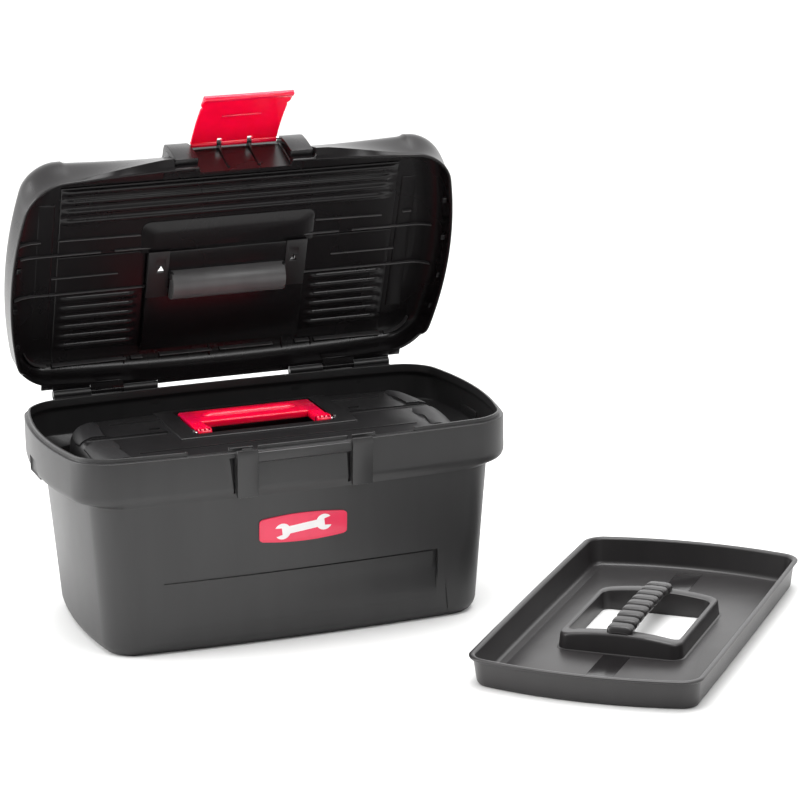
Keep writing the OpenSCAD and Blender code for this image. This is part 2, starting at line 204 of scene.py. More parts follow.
def moulded(name, colour, roughness, grain=0.12, flow=0.1, spread=0.06, specular=0.5, coat=0.0):
    """Injection-moulded plastic: fine grain, faint flow streaks, scuffs and an uneven gloss."""
    material, nodes, links, shader = new_material(name)
    coords = nodes.new("ShaderNodeTexCoord").outputs["Object"]
    streaks = noise_of(nodes, links, coords, 9.0, 4.0, (6.0, 6.0, 0.7))
    clouds = noise_of(nodes, links, coords, 5.0, 5.0)
    dull = [c * (1 - flow) for c in colour]
    bright = [min(1.0, c * (1 + flow)) for c in colour]
    tint = tinted(nodes, links, ranged(nodes, links, streaks, 0.0, 1.0), dull, bright)
    links.new(tint, shader.inputs["Base Color"])
    uneven = ranged(nodes, links, clouds, roughness - spread, roughness + spread)
    links.new(uneven, shader.inputs["Roughness"])
    waves = bumped(nodes, links, noise_of(nodes, links, coords, 14.0, 1.0), 0.10, 0.004)
    pores = bumped(nodes, links, noise_of(nodes, links, coords, 1400.0, 2.0), grain, 0.0004, waves)
    links.new(pores, shader.inputs["Normal"])
    put(shader, "Specular IOR Level", specular)
    put(shader, "Coat Weight", coat)
    put(shader, "Coat Roughness", 0.12)
    return material


def glowing_red(name):
    """Glossy crimson plastic that lets some of the light behind it through."""
    material = moulded(name, (0.96, 0.001, 0.045), 0.26, grain=0.04, flow=0.08, spread=0.04, coat=0.3)
    shader = material.node_tree.nodes["Principled BSDF"]
    put(shader, "Subsurface Weight", 0.45)
    put(shader, "Subsurface Radius", (1.0, 0.12, 0.15))
    put(shader, "Subsurface Scale", 0.006)
    return material


def wire_steel():
    material, nodes, links, shader = new_material("wire_steel")
    coords = nodes.new("ShaderNodeTexCoord").outputs["Object"]
    drawn = noise_of(nodes, links, coords, 60.0, 3.0, (0.5, 20.0, 20.0))
    tint = tinted(nodes, links, drawn, (0.50, 0.50, 0.51), (0.66, 0.66, 0.68))
    links.new(tint, shader.inputs["Base Color"])
    links.new(ranged(nodes, links, drawn, 0.25, 0.42), shader.inputs["Roughness"])
    put(shader, "Metallic", 1.0)
    return material


# ---- Outlines, levels and solids ----
# A solid is (points, faces). An outline is (length, depth, bow of the long sides, bow of the ends,
# corner radius), as in the part's design. A level is (height, inset, *outline).

TUB_RIM = (486, 272, 11, 21.5, 32)
TUB_HEAD = (445, 260, 10, 17, 30)
TUB_FOOT = (419, 233.5, 9, 13, 26)
CASE_RIM = (400, 212, 9, 17, 26)
CASE_HEAD = (372, 194, 8, 14, 24)
CASE_FOOT = (346, 172, 7, 11, 20)
TRAY_RIM = (449, 240.5, 1, 16, 18)
TRAY_HEAD = (441, 232.5, 1, 16, 15)
TRAY_FOOT = (431, 227.5, 1, 15.5, 13.5)
SIDE_STEPS = (120, 105, 90, 77, 63, 51, 49, 35, 18, 0)
LID_SIDE_STEPS = (196, 190, 187.5, 185, 181, 170, 155, 138, 120, 105, 90, 77, 75, 63, 51, 49, 35, 18, 0)
END_STEPS = 9
CORNER_STEPS = 12
BEND_STEPS = 4


def mix(a, b, t):
    return a + (b - a) * t


def smooth(t):
    t = min(max(t, 0.0), 1.0)
    return t * t * (3 - 2 * t)


def outline_points(outline, inset=0.0, side_steps=SIDE_STEPS):
    """An outline's points, drawn in by inset, counter-clockwise from the middle of its +X end."""
    length, depth = outline[0] - 2 * inset, outline[1] - 2 * inset
    bow_side, bow_end, radius = outline[2], outline[3], max(outline[4] - inset, 2.0)

    def inside(a, b):
        x = y = 0.0
        for _ in range(8):
            x = length / 2 - bow_end * (2 * y / depth) ** 2 - a
            y = depth / 2 - bow_side * (2 * x / length) ** 2 - b
        return x, y

    end_y = inside(0, radius)[1]
    quarter = []
    for k in range(END_STEPS):
        y = end_y * k / END_STEPS
        quarter.append((length / 2 - bow_end * (2 * y / depth) ** 2, y))
    for k in range(CORNER_STEPS + 1):
        turn = math.pi / 2 * k / CORNER_STEPS
        quarter.append(inside(radius * (1 - math.cos(turn)), radius * (1 - math.sin(turn))))
    start = quarter[-1][0]
    wanted = [mix(start, side_steps[0], t) for t in (1 / 3, 2 / 3)] + list(side_steps)
    for k, x in enumerate(wanted):
        x = min(x, start - 0.3 * (k + 1))
        quarter.append((x, depth / 2 - bow_side * (2 * x / length) ** 2))
    return (
        quarter
        + [(-x, y) for x, y in reversed(quarter[:-1])]
        + [(-x, -y) for x, y in quarter[1:]]
        + [(x, -y) for x, y in reversed(quarter[1:-1])]
    )


def levels(*stations):
    """Levels through stations (height, outline, inset, bend radius)."""
    rows = [(s[0], s[2], *s[1]) for s in stations]

    def apart(a, b):
        return math.hypot(b[0] - a[0], (b[2] / 2 - b[1]) - (a[2] / 2 - a[1])) or 1e-6

    out = [rows[0]]
    for k in range(1, len(rows) - 1):
        before, here, after, radius = rows[k - 1], rows[k], rows[k + 1], stations[k][3]
        if not radius:
            out.append(here)
            continue
        back = min(radius / apart(here, before), 0.48)
        on = min(radius / apart(here, after), 0.48)
        a = [mix(h, b, back) for h, b in zip(here, before)]
        c = [mix(h, b, on) for h, b in zip(here, after)]
        for step in range(BEND_STEPS + 1):
            t = step / BEND_STEPS
            weights = (1 - t) ** 2, 2 * t * (1 - t), t * t
            out.append(tuple(sum(w * v for w, v in zip(weights, row)) for row in zip(a, here, c)))
    return out + [rows[-1]]


def skinned(rings, closed=False):
    """A solid through rings of equal length: capped at both ends, or joined into a loop."""
    n = len(rings[0])
    points = [tuple(p) for ring in rings for p in ring]
    faces = []
    count = len(rings)
    for k in range(count if closed else count - 1):
        a, b = k * n, (k + 1) % count * n
        faces += [(a + i, a + (i + 1) % n, b + (i + 1) % n, b + i) for i in range(n)]
    if not closed:
        faces += [tuple(range(n - 1, -1, -1)), tuple(range((count - 1) * n, count * n))]
    return points, faces


def lofted(rows, side_steps=SIDE_STEPS, warp=None, shift_y=0.0):
    rings = []
    for z, inset, *outline in rows:
        ring = [(x, y + shift_y, z) for x, y in outline_points(outline, inset, side_steps)]
        rings.append([warp(*p) for p in ring] if warp else ring)
    return skinned(rings)


def block(x, y, z):
    (x0, x1), (y0, y1), (z0, z1) = x, y, z
    ring = [(x0, y0), (x1, y0), (x1, y1), (x0, y1)]
    return skinned([[(a, b, z0) for a, b in ring], [(a, b, z1) for a, b in ring]])


def prism(profile, x0, x1, flare=None):
    """A Y-Z profile carried along X. flare(y, z) moves the far end out."""
    far = [(x1 + (flare(y, z) if flare else 0.0), y, z) for y, z in profile]
    return skinned([[(x0, y, z) for y, z in profile], far])


def circle(y, z, r, n=28):
    return [(y + r * math.cos(2 * math.pi * k / n), z + r * math.sin(2 * math.pi * k / n)) for k in range(n)]


def rod(x0, x1, y, z, r, n=28):
    return prism(circle(y, z, r, n), x0, x1)


def mirrored(solid):
    points, faces = solid
    return [(-x, y, z) for x, y, z in points], [tuple(reversed(f)) for f in faces]


def both(solid):
    return [solid, mirrored(solid)]


def relief(us, vs, at, below, above):
    """A closed panel over a grid: at(u, v) gives x and y, and two functions its faces' heights."""
    rows, columns = len(us), len(vs)
    points, faces = [], []
    for height in (below, above):
        for u in us:
            for v in vs:
                x, y = at(u, v)
                points.append((x, y, height(x, y)))
    top = rows * columns
    for i in range(rows - 1):
        for j in range(columns - 1):
            a = i * columns + j
            faces.append((a, a + 1, a + columns + 1, a + columns))
            faces.append((top + a, top + a + columns, top + a + columns + 1, top + a + 1))
    edge = [i * columns for i in range(rows)]
    edge += [(rows - 1) * columns + j for j in range(1, columns)]
    edge += [i * columns + columns - 1 for i in range(rows - 2, -1, -1)]
    edge += [j for j in range(columns - 2, 0, -1)]
    for k, a in enumerate(edge):
        b = edge[(k + 1) % len(edge)]
        faces.append((a, top + a, top + b, b))
    return points, faces


def steps(start, end, pitch):
    n = max(1, round(abs(end - start) / pitch))
    return [mix(start, end, k / n) for k in range(n + 1)]


def with_edges(start, end, pitch, lip=1.2):
    """Even steps with three close ones at each end, where a panel's edge rounds over."""
    inner = steps(start + lip, end - lip, pitch)
    return [start, start + lip * 0.3, start + lip * 0.65] + inner + [end - lip * 0.65, end - lip * 0.3, end]


def edge_round(x, y, x_range, y_range, lip=1.2):
    """1 inside a rectangle, falling to 0 over a rounded lip at its edge."""
    near = min(x - x_range[0], x_range[1] - x, y - y_range[0], y_range[1] - y)
    t = min(max(near / lip, 0.0), 1.0)
    return math.sqrt(1 - (1 - t) ** 2)


def swept(path, section):
    """A section of (across, along Z) points carried along a path of (x, y, z) points."""
    rings = []
    for k, (x, y, z) in enumerate(path):
        before, after = path[max(k - 1, 0)], path[min(k + 1, len(path) - 1)]
        dx, dy = after[0] - before[0], after[1] - before[1]
        size = math.hypot(dx, dy) or 1.0
        rings.append([(x - dy / size * a, y + dx / size * a, z + h) for a, h in section])
    return skinned(rings)


# ---- Building pieces ----

SHARP = math.radians(32)


def mesh_from(solid, bevel=0.0, segments=2):
    points, faces = solid
    bm = bmesh.new()
    verts = [bm.verts.new(p) for p in points]
    for face in faces:
        bm.faces.new([verts[i] for i in face])
    bmesh.ops.remove_doubles(bm, verts=bm.verts, dist=1e-5)
    bmesh.ops.recalc_face_normals(bm, faces=bm.faces)
    if bevel:
        edges = [e for e in bm.edges if e.is_manifold and e.calc_face_angle(0.0) > SHARP]
        bmesh.ops.bevel(
            bm, geom=edges, offset=bevel, segments=segments, profile=0.5, affect="EDGES", clamp_overlap=True,
        )
    mesh = bpy.data.meshes.new("part")
    bm.to_mesh(mesh)
    bm.free()
    return mesh


def solid_from(mesh):
    solid = [tuple(v.co) for v in mesh.vertices], [tuple(p.vertices) for p in mesh.polygons]
    bpy.data.meshes.remove(mesh)
    return solid


def bevelled(solid, width, segments=2):
    return solid_from(mesh_from(solid, width, segments))


def combined(base, tools, operation):
    """base with each tool joined to it or cut from it."""
    for tool in tools:
        pair = []
        for name, solid in (("base", base), ("tool", tool)):
            holder = bpy.data.objects.new(name, mesh_from(solid))
            bpy.context.scene.collection.objects.link(holder)
            pair.append(holder)
        step = pair[0].modifiers.new("step", "BOOLEAN")
        step.operation, step.solver, step.object = operation, "MANIFOLD", pair[1]
        shown = pair[0].evaluated_get(bpy.context.evaluated_depsgraph_get())
        base = solid_from(bpy.data.meshes.new_from_object(shown))
        for holder in pair:
            mesh = holder.data
            bpy.data.objects.remove(holder)
            bpy.data.meshes.remove(mesh)
    return base


def piece(name, solids, body, material, node=None, place=None):
    """Joins solids into one named piece, sets it in the frame and lets it ride on its body."""
    bm = bmesh.new()
    for solid in solids:
        mesh = mesh_from(solid)
        bm.from_mesh(mesh)
        bpy.data.meshes.remove(mesh)
    mesh = bpy.data.meshes.new(name)
    bm.to_mesh(mesh)
    bm.free()
    mesh.transform(Matrix.Scale(MM, 4) @ (place or Matrix.Identity(4)))
    mesh.shade_smooth()
    mesh.set_sharp_from_angle(angle=SHARP)
    mesh.materials.append(material)
    made = bpy.data.objects.new(name, mesh)
    bpy.context.scene.collection.objects.link(made)
    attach(made, body)
    if node:
        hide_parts(node)
    return made


# ---- Toolbox body ----

HINGE = pivot("lid_hinge")
LID_OPEN = lowest("lid_hinge")
OPENED = about(HINGE, -LID_OPEN)
RIM_Z = HINGE.z - 5.5
FRONT = -TUB_RIM[1] / 2
COLLAR_Z = RIM_Z - 49
HINGE_X = (75, 113, 149, 190)
KNUCKLE_R = 4.5
WALL = 3.0
PANEL_X, PANEL_Z = (-146, 148), (26, 78)


def front_wall(x, z):
    """Y of the body's outer front face."""
    t = (z - 9) / (COLLAR_Z - 9)
    length, depth, bow = (mix(a, b, t) for a, b in zip(TUB_FOOT[:3], TUB_HEAD[:3]))
    return -depth / 2 + bow * (2 * x / length) ** 2


def on_wall(us, vs, at, out, into):
    """A closed slab along the front wall: at(u, v) gives x and z, out and into place its two faces."""
    points, faces = relief(
        us, vs, at, lambda x, z: front_wall(x, z) + out(x, z), lambda x, z: front_wall(x, z) + into(x, z),
    )
    return [(x, y, z) for x, z, y in points], faces


def wall_panel(x_range, z_range, out, into, pitch=8.0):
    """A rectangular slab along the front wall, from out to into, both functions of x and z."""
    return on_wall(steps(*x_range, pitch), steps(*z_range, pitch), lambda x, z: (x, z), out, into)


def groove(us, vs, at, depth):
    """A cutter along the front wall, depth(x, z) deep."""
    return on_wall(us, vs, at, lambda x, z: -5, depth)


def tub_shell():
    rim, head, foot = TUB_RIM, TUB_HEAD, TUB_FOOT
    return lofted(levels(
        (0, foot, 14, 0), (0, foot, 6.5, 3), (8, foot, 0, 5), (COLLAR_Z, head, 0, 1.5),
        (COLLAR_Z + 5.5, rim, 2.6, 2.5), (COLLAR_Z + 11, rim, 0, 3), (RIM_Z, rim, 0, 0.8),
        (RIM_Z, rim, 3.6, 0.5), (RIM_Z + 4.5, rim, 3.6, 0.8), (RIM_Z + 4.5, rim, 6.0, 0.8),
        (RIM_Z - 4, rim, 6.0, 1), (RIM_Z - 8, rim, WALL, 2), (COLLAR_Z + 14, rim, WALL, 2),
        (COLLAR_Z + 3, head, WALL, 2), (11, foot, WALL, 5), (WALL, foot, 9, 3), (WALL, foot, 14, 0),
    ))


def pad():
    """A raised strap on the collar beside the latch, fading out downwards."""
    profile = [
        (FRONT + 4, COLLAR_Z + 8), (FRONT + 1, COLLAR_Z + 2), (FRONT - 2.6, COLLAR_Z + 2),
        (FRONT - 4.6, RIM_Z - 16), (FRONT - 6, RIM_Z - 5), (FRONT - 6, RIM_Z + 3),
        (FRONT - 1, RIM_Z + 3), (FRONT - 1, RIM_Z - 0.5), (FRONT + 4, RIM_Z - 0.5),
    ]
    return bevelled(prism(profile, 50, 72), 0.9)


def hinge_leaves(profile, x0, x1, place, r):
    """A hinge leaf and its knuckle, on both sides."""
    return both(bevelled(prism(profile, x0, x1), 0.4)) + both(rod(x0, x1, place.y, place.z, r))


def tub_hinge():
    solids = []
    y, z = HINGE.y, HINGE.z
    for x0, x1, inner in ((HINGE_X[0], HINGE_X[1] - 0.3, 8.4), (HINGE_X[2], HINGE_X[3], 11.5)):
        profile = [
            (y - inner, RIM_Z - 14), (y - 4.5, RIM_Z - 16), (y + 3.2, z - 3.2), (y, z),
            (y - inner, RIM_Z - 0.1),
        ]
        solids += hinge_leaves(profile, x0, x1, HINGE, KNUCKLE_R)
    return solids


def panel_depth(x, z):
    """Depth of the lower front panel, which fades out to the left and downwards."""
    across = smooth((x - PANEL_X[0]) / (PANEL_X[1] - PANEL_X[0]))
    return (0.7 + 2.9 * across) * smooth((z - 30) / 34) + 0.02


def panel_lines():
    """Cutters for the lines at the panel's top and right edges, and for the thin one beyond them."""
    top = groove(
        steps(*PANEL_X, 4), steps(PANEL_Z[1] - 1.6, PANEL_Z[1] + 0.9, 0.6), lambda x, z: (x, z),
        lambda x, z: 1.6 + 3.4 * smooth((x + 150) / 280),
    )
    side = groove(
        steps(46, PANEL_Z[1], 4), steps(-2.2, 2.2, 0.55), lambda z, t: (PANEL_X[1] - 1 + t, z),
        lambda x, z: 5.6 * smooth((z - 46) / 22),
    )
    beyond = groove(
        steps(3, 42, 4), steps(-0.8, 0.8, 0.4), lambda z, t: (mix(162, 158, (z - 3) / 39) + t, z),
        lambda x, z: 0.9 * (1 - smooth((z - 30) / 14)),
    )
    return [top, side, beyond]


def wedge_slots():
    """Tapering slots left of the two pads, and the plates that close them behind."""
    wedges, backs = [], []
    for x0, x1, x2, low in ((-78.5, -72.6, -74.4, COLLAR_Z + 6), (45.2, 49.6, 46.8, COLLAR_Z + 5)):
        outline = [(x0, RIM_Z - 5), (x2, low), (x1, low), (x1, RIM_Z - 5)]
        wedges.append(skinned([[(x, y, z) for x, z in outline] for y in (FRONT - 3, FRONT + 9)]))
        back = block((x0 - 3, x1 + 3), (FRONT + 6.5, FRONT + 8.5), (low - 3, RIM_Z - 2))
        backs.append(bevelled(back, 0.5))
    return wedges, backs


def lip_gaps():
    """Cutters through the upstanding lip, for the lid's hooks and the walls of its latch recess."""
    hooks = block((77, 121), (FRONT - 2, FRONT + 9), (RIM_Z + 1.0, RIM_Z + 8))
    walls = block((47.4, 52.8), (FRONT - 0.5, FRONT + 8), (RIM_Z + 0.05, RIM_Z + 6))
    return both(hooks) + both(walls)


def make_tub(plastic):
    backing = wall_panel(
        (PANEL_X[0] - 3, PANEL_X[1] + 5), (24, PANEL_Z[1] + 5),
        lambda x, z: 1.6, lambda x, z: panel_depth(x, z) + 4.6,
    )
    end_x = TUB_RIM[0] / 2
    behind = bevelled(block((end_x - 5.0, end_x - 2.0), (-1, 41), (RIM_Z - 45, RIM_Z - 24)), 1.0, 3)
    shell = combined(tub_shell(), [backing, *both(behind)], "UNION")
    recess = wall_panel(PANEL_X, PANEL_Z, lambda x, z: -6.0, panel_depth, 4.0)
    pocket = bevelled(block((end_x - 3.8, end_x + 9), (2, 38), (RIM_Z - 43, RIM_Z - 27)), 1.6, 3)
    wedges, backs = wedge_slots()
    cuts = [recess, *panel_lines(), *wedges, *lip_gaps(), *both(pocket)]
    solids = [combined(shell, cuts, "DIFFERENCE"), *backs, *both(pad()), *tub_hinge()]
    lip = [
        (FRONT + 3, RIM_Z - 12), (FRONT - 0.5, RIM_Z - 12), (FRONT - 3.6, RIM_Z - 10.2),
        (FRONT - 4, RIM_Z - 1.2), (FRONT - 3, RIM_Z - 0.4), (FRONT + 3, RIM_Z - 0.4),
    ]
    solids.append(bevelled(prism(lip, -50, 50), 0.4))
    for x0, x1 in ((76, 78), (120, 122)):
        rim_y = FRONT + TUB_RIM[2] * (2 * x1 / TUB_RIM[0]) ** 2
        frame_bar = block((x0, x1), (rim_y + 3.6, rim_y + 6.2), (RIM_Z - 0.5, RIM_Z + 5.2))
        solids += both(bevelled(frame_bar, 0.5))
    cap = block((-66, -55), (FRONT - 5.4, FRONT - 0.6), (RIM_Z + 2, RIM_Z + 4.6))
    solids.append(bevelled(cap, 0.7))
    piece("toolbox_body", solids, "toolbox_base", plastic, "tub")


def badge_frame():
    """The label's plane, leaning with the front wall."""
    low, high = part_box("badge")
    centre = (low + high) / 2 / MM
    lean = math.atan2((TUB_HEAD[1] - TUB_FOOT[1]) / 2, COLLAR_Z - 9)
    outer = Vector((centre.x, front_wall(centre.x, centre.z), centre.z))
    return Matrix.Translation(outer) @ Matrix.Rotation(math.pi / 2 + lean, 4, "X")


def label_outline(width, height, crown, radius):
    """A rectangle with crowned long edges and rounded corners."""
    points = []
    for side in (1, -1):
        for k in range(25):
            x = side * (width / 2 - radius) * (1 - k / 12)
            points.append((x, side * (height / 2 + crown * (1 - (2 * x / width) ** 2))))
        corner, base, reach = -side * (width / 2 - radius), side * height / 2, side * radius
        for k in range(1, 8):
            turn = math.pi / 2 * k / 8
            points.append((corner - reach * math.sin(turn), base - reach * (1 - math.cos(turn))))
        for t in (0.35, 0.65):
            points.append((-side * width / 2, mix(base - reach, -base + reach, t)))
        for k in range(1, 8):
            turn = math.pi / 2 * (1 - k / 8)
            points.append((corner - reach * math.sin(turn), -base + reach * (1 - math.cos(turn))))
    return points


def flat_plate(points, z0, z1):
    return skinned([[(x, y, z0) for x, y in points], [(x, y, z1) for x, y in points]])


def spanner_outline(length, head, jaw):
    """An open-ended spanner lying along X, with one jaw at each end."""
    points = []
    half = length / 2 - head
    for side in (1, -1):
        centre = side * half
        mouth, neck = math.radians(34), math.radians(152)
        for k in range(13):
            turn = mix(-neck, -mouth, k / 12)
            points.append((centre + side * head * math.cos(turn), side * head * math.sin(turn)))
        points.append((centre + side * head * 0.05, -side * jaw * 0.85))
        points.append((centre + side * head * 0.05, side * jaw * 0.85))
        for k in range(13):
            turn = mix(mouth, neck, k / 12)
            points.append((centre + side * head * math.cos(turn), side * head * math.sin(turn)))
    return points


SPANNER_TILT = 0.12


def make_badge(red_label, white_print):
    place = badge_frame()
    plate = bevelled(flat_plate(label_outline(94, 23.5, 3.6, 3.5), -0.6, 0.9), 0.35)
    border = combined(
        flat_plate(label_outline(93, 22.5, 3.6, 3.2), 0.5, 1.15),
        [flat_plate(label_outline(91.2, 20.7, 3.6, 2.6), 0.0, 3.0)], "DIFFERENCE",
    )
    piece("badge_label_plate", [plate, border], "toolbox_base", red_label, "badge", place)
    across, along = math.sin(SPANNER_TILT), math.cos(SPANNER_TILT)
    turned = [(x * along - y * across, x * across + y * along) for x, y in spanner_outline(62, 8.6, 4.2)]
    mark = bevelled(flat_plate(turned, 0.6, 1.2), 0.12)
    piece("badge_spanner_mark", [mark], "toolbox_base", white_print, None, place)


# ---- Toolbox lid, drawn closed ----

LID_Z = RIM_Z + 0.4
LID_TOP = LID_Z + 55
LATCH = Vector((0, FRONT + 2.5, RIM_Z + 48))
RECESS_Y = FRONT + 7
BOSS_X = (50, 76)
WELL_X, WELL_Y, WELL_Z = 86, (-12, 108), RIM_Z + 32
TROUGH_Y, TROUGH_R, TROUGH_X = 27, 14.5, 60
TROUGH_Z = WELL_Z - 1.5
PEEP_X, PEEP_Y, PEEP_R = 74, 8, 5.5
LUG_X = 16.5
HANDLE = Vector((0, 9, RIM_Z + 43))
INNER_CURVE = ((0, 3.0), (18, 3.6), (26, 6.0), (31.5, 11), (35, 18), (37, 28))
OUTER_CURVE = ((0, 0.0), (27, 0.6), (38, 2.4), (45, 6.0), (51, 13), (55, 26))
TOP_BOW = 4.0
FIN_Z = 5.0
HOLLOW_X = 187


def lid_outline(height):
    """The rim's outline, less bowed towards the lid's top."""
    t = smooth((height - 6) / 34)
    return (*TUB_RIM[:2], mix(TUB_RIM[2], TOP_BOW, t), mix(TUB_RIM[3], TUB_RIM[3] - 3, t), TUB_RIM[4])


def spline(a, b, c, d, t):
    """A smooth curve from b to c, led by its neighbours a and d."""
    line, bend = (c - a) * t, (2 * a - 5 * b + 4 * c - d) * t * t
    return 0.5 * (2 * b + line + bend + (3 * b - a - 3 * c + d) * t ** 3)


def curve_levels(curve):
    """Levels along a lid's section, smoothed between its points."""
    rows = []
    for k in range(len(curve) - 1):
        near = [curve[min(max(k + j, 0), len(curve) - 1)] for j in (-1, 0, 1, 2)]
        for t in (0.0, 0.25, 0.5, 0.75):
            rows.append(tuple(spline(*(p[i] for p in near), t) for i in (0, 1)))
    return rows + [curve[-1]]


INNER_ROWS = curve_levels(INNER_CURVE)
OUTER_ROWS = curve_levels(OUTER_CURVE)


def depth_inside(outline, x, y):
    """How far a point lies inside an outline."""
    inset = 0.0
    for _ in range(12):
        length, depth = outline[0] - 2 * inset, outline[1] - 2 * inset
        radius = max(outline[4] - inset, 2.0)
        a = length / 2 - outline[3] * (2 * y / depth) ** 2 - abs(x)
        b = depth / 2 - outline[2] * (2 * x / length) ** 2 - abs(y)
        if a < radius and b < radius:
            inset += radius - math.hypot(radius - a, radius - b)
        else:
            inset += min(a, b)
        inset = min(inset, min(outline[0], outline[1]) / 2 - 8)
    return inset


def height_on(rows, inset):
    """Height on a section where it lies this far in."""
    for (z0, i0), (z1, i1) in zip(rows, rows[1:]):
        if inset <= i1:
            return mix(z0, z1, min(max((inset - i0) / max(i1 - i0, 1e-6), 0.0), 1.0))
    return rows[-1][0]


def ceiling(x, y):
    """Height of the lid's inner face."""
    outline = (*TUB_RIM[:2], TOP_BOW + 1.5, TUB_RIM[3] - 2.5, TUB_RIM[4])
    return LID_Z + height_on(INNER_ROWS, depth_inside(outline, x, y))


def lid_warp(x, y, z, shell="outer"):
    """Clears the hinge at the back, the latch at the front, and hollows the wall beside the bosses."""
    if y > 104 and z < HINGE.z + 0.6:
        z = mix(z, HINGE.z + 0.6, smooth((y - 104) / 6))
    if abs(x) < BOSS_X[0] and y < RECESS_Y + WALL:
        face = RECESS_Y + WALL if shell == "inner" else RECESS_Y
        y = max(y, face + 0.02 * (y - face))
    elif BOSS_X[1] < abs(x) < HOLLOW_X and y < -80:
        fin = 10.0 * min(1.0, max(0.0, (168 - abs(x)) / 76)) if shell == "outer" else 0.0
        deep = 2.2 * smooth((HOLLOW_X - abs(x)) / 3) + 7.5 * min(1.0, (HOLLOW_X - abs(x)) / 95)
        up = z - LID_Z
        if up < FIN_Z:
            y -= fin * max(0.0, up - 0.3) / (FIN_Z - 0.3)
        else:
            y += mix(-fin, deep, min(1.0, (up - FIN_Z) / (44 - FIN_Z)))
    return x, y, z


def lid_shell():
    """The lid's moulding, from the ceiling down round its edge and up over its outside."""
    inner = [(LID_Z + z, i, *lid_outline(z)) for z, i in reversed(INNER_ROWS[1:])]
    inner.append((LID_Z + 0.8, 3.0, *TUB_RIM))
    edge = ((0, 2.4), (-0.3, 1.8), (-0.3, 1.0), (0, 0.3))
    outer = [(LID_Z + z, i, *TUB_RIM) for z, i in edge]
    outer += [(LID_Z + z, 0.02 * z, *TUB_RIM) for z in (0.6, 2.0, FIN_Z - 0.5, FIN_Z, FIN_Z + 0.7)]
    outer += [(LID_Z + z, i, *lid_outline(z)) for z, i in OUTER_ROWS if z > FIN_Z + 1.2]
    # Two more rings on the ceiling and on the top keep their shading flat.
    z, i, *outline = inner[0]
    inner = [(z, i + 8, *outline), (z, i + 4, *outline)] + inner
    z, i, *outline = outer[-1]
    outer += [(z, i + 4, *outline), (z, i + 8, *outline)]
    rings = []
    for shell, rows in (("inner", inner), ("outer", outer)):
        for z, inset, *outline in rows:
            ring = outline_points(outline, inset, LID_SIDE_STEPS)
            rings.append([lid_warp(x, y, z, shell) for x, y in ring])
    return skinned(rings)


def thin_rib(points, width=1.5, height=4.0):
    """A moulded rib hanging from the ceiling along points (x, y)."""
    half = width / 2
    turns = [math.pi * k / 6 for k in range(7)]
    tip = [(half * math.cos(a), -height + half - half * math.sin(a)) for a in turns]
    section = [(half, 1.2), *tip, (-half, 1.2)]
    path = []
    for (x0, y0), (x1, y1) in zip(points, points[1:]):
        n = max(1, round(math.hypot(x1 - x0, y1 - y0) / 9))
        path += [(mix(x0, x1, k / n), mix(y0, y1, k / n)) for k in range(n)]
    path.append(points[-1])
    return swept([(x, y, ceiling(x, y)) for x, y in path], section)


def ceiling_panel(x_range, y_range, height, lip=1.4, pitch=(9, 6)):
    """A panel standing below the ceiling by height(x, y)."""
    return relief(
        with_edges(*x_range, pitch[0], lip), with_edges(*y_range, pitch[1], lip), lambda x, y: (x, y),
        lambda x, y: ceiling(x, y) - height(x, y) * edge_round(x, y, x_range, y_range, lip),
        lambda x, y: ceiling(x, y) + 1.2,
    )


def corrugation(value, places, half):
    """Rounded ridges at places, 0 to 1."""
    near = min(abs(value - p) for p in places) / half
    return math.sqrt(max(0.0, 1 - near * near)) if near < 1 else 0.0


FRONT_RIDGES = (-94, -82, -70, -58)
REAR_RIDGES = (40, 52, 64, 76, 88, 100)
CENTRE_X = 186


def front_ridges(x, y):
    end = CENTRE_X - 2 if x < 0 else CENTRE_X - 13 + (-y - 58) * 0.22
    fade = smooth((end - abs(x)) / 3)
    return 1.6 + 2.2 * fade * corrugation(y, FRONT_RIDGES, 3.4)


def rear_ridges(x, y):
    inside = smooth((abs(x) - 98) / 4) * smooth((180 - abs(x)) / 4)
    return 1.6 + 2.0 * inside * corrugation(y, REAR_RIDGES, 3.6)


def trough_rod(reach, radius):
    return rod(-reach, reach, TROUGH_Y, TROUGH_Z, radius, 64)


def trough_skin():
    """The outer face of the finger trough under the handle well, with a coarser grain, coloured much lighter
    than the lid as a painted highlight.
    """
    reach = TROUGH_X + 2.8
    outer = bevelled(trough_rod(reach, TROUGH_R + 2.8), 0.8)
    inner = trough_rod(reach - 0.4, TROUGH_R + 2.4)
    above = block((-reach - 2, reach + 2), (TROUGH_Y - 30, TROUGH_Y + 30), (WELL_Z - 2.8, WELL_Z + 30))
    return combined(outer, [above, inner], "DIFFERENCE")


def arch_plateau():
    """The stepped plateau in front of the handle well, with rounded front corners."""
    half, back, front, corner = 96, -12, -50, 9
    ring = [(half, back)]
    for k in range(7):
        turn = math.pi / 2 * k / 6
        ring.append((half - corner + corner * math.cos(turn), front + corner - corner * math.sin(turn)))
    outline = ring + [(-x, y) for x, y in reversed(ring)]

    def shrunk(t):
        return [(x * (1 - t / half), mix(y, back, t / 40)) for x, y in outline]

    floor = LID_Z + INNER_CURVE[-1][0] + 1.2
    rows = ((1.2, 0), (-2.6, 0), (-3.5, 0.5), (-4.0, 1.6), (-5.2, 11), (-5.8, 13))
    return skinned([[(x, y, floor + z) for x, y in shrunk(t)] for z, t in rows])


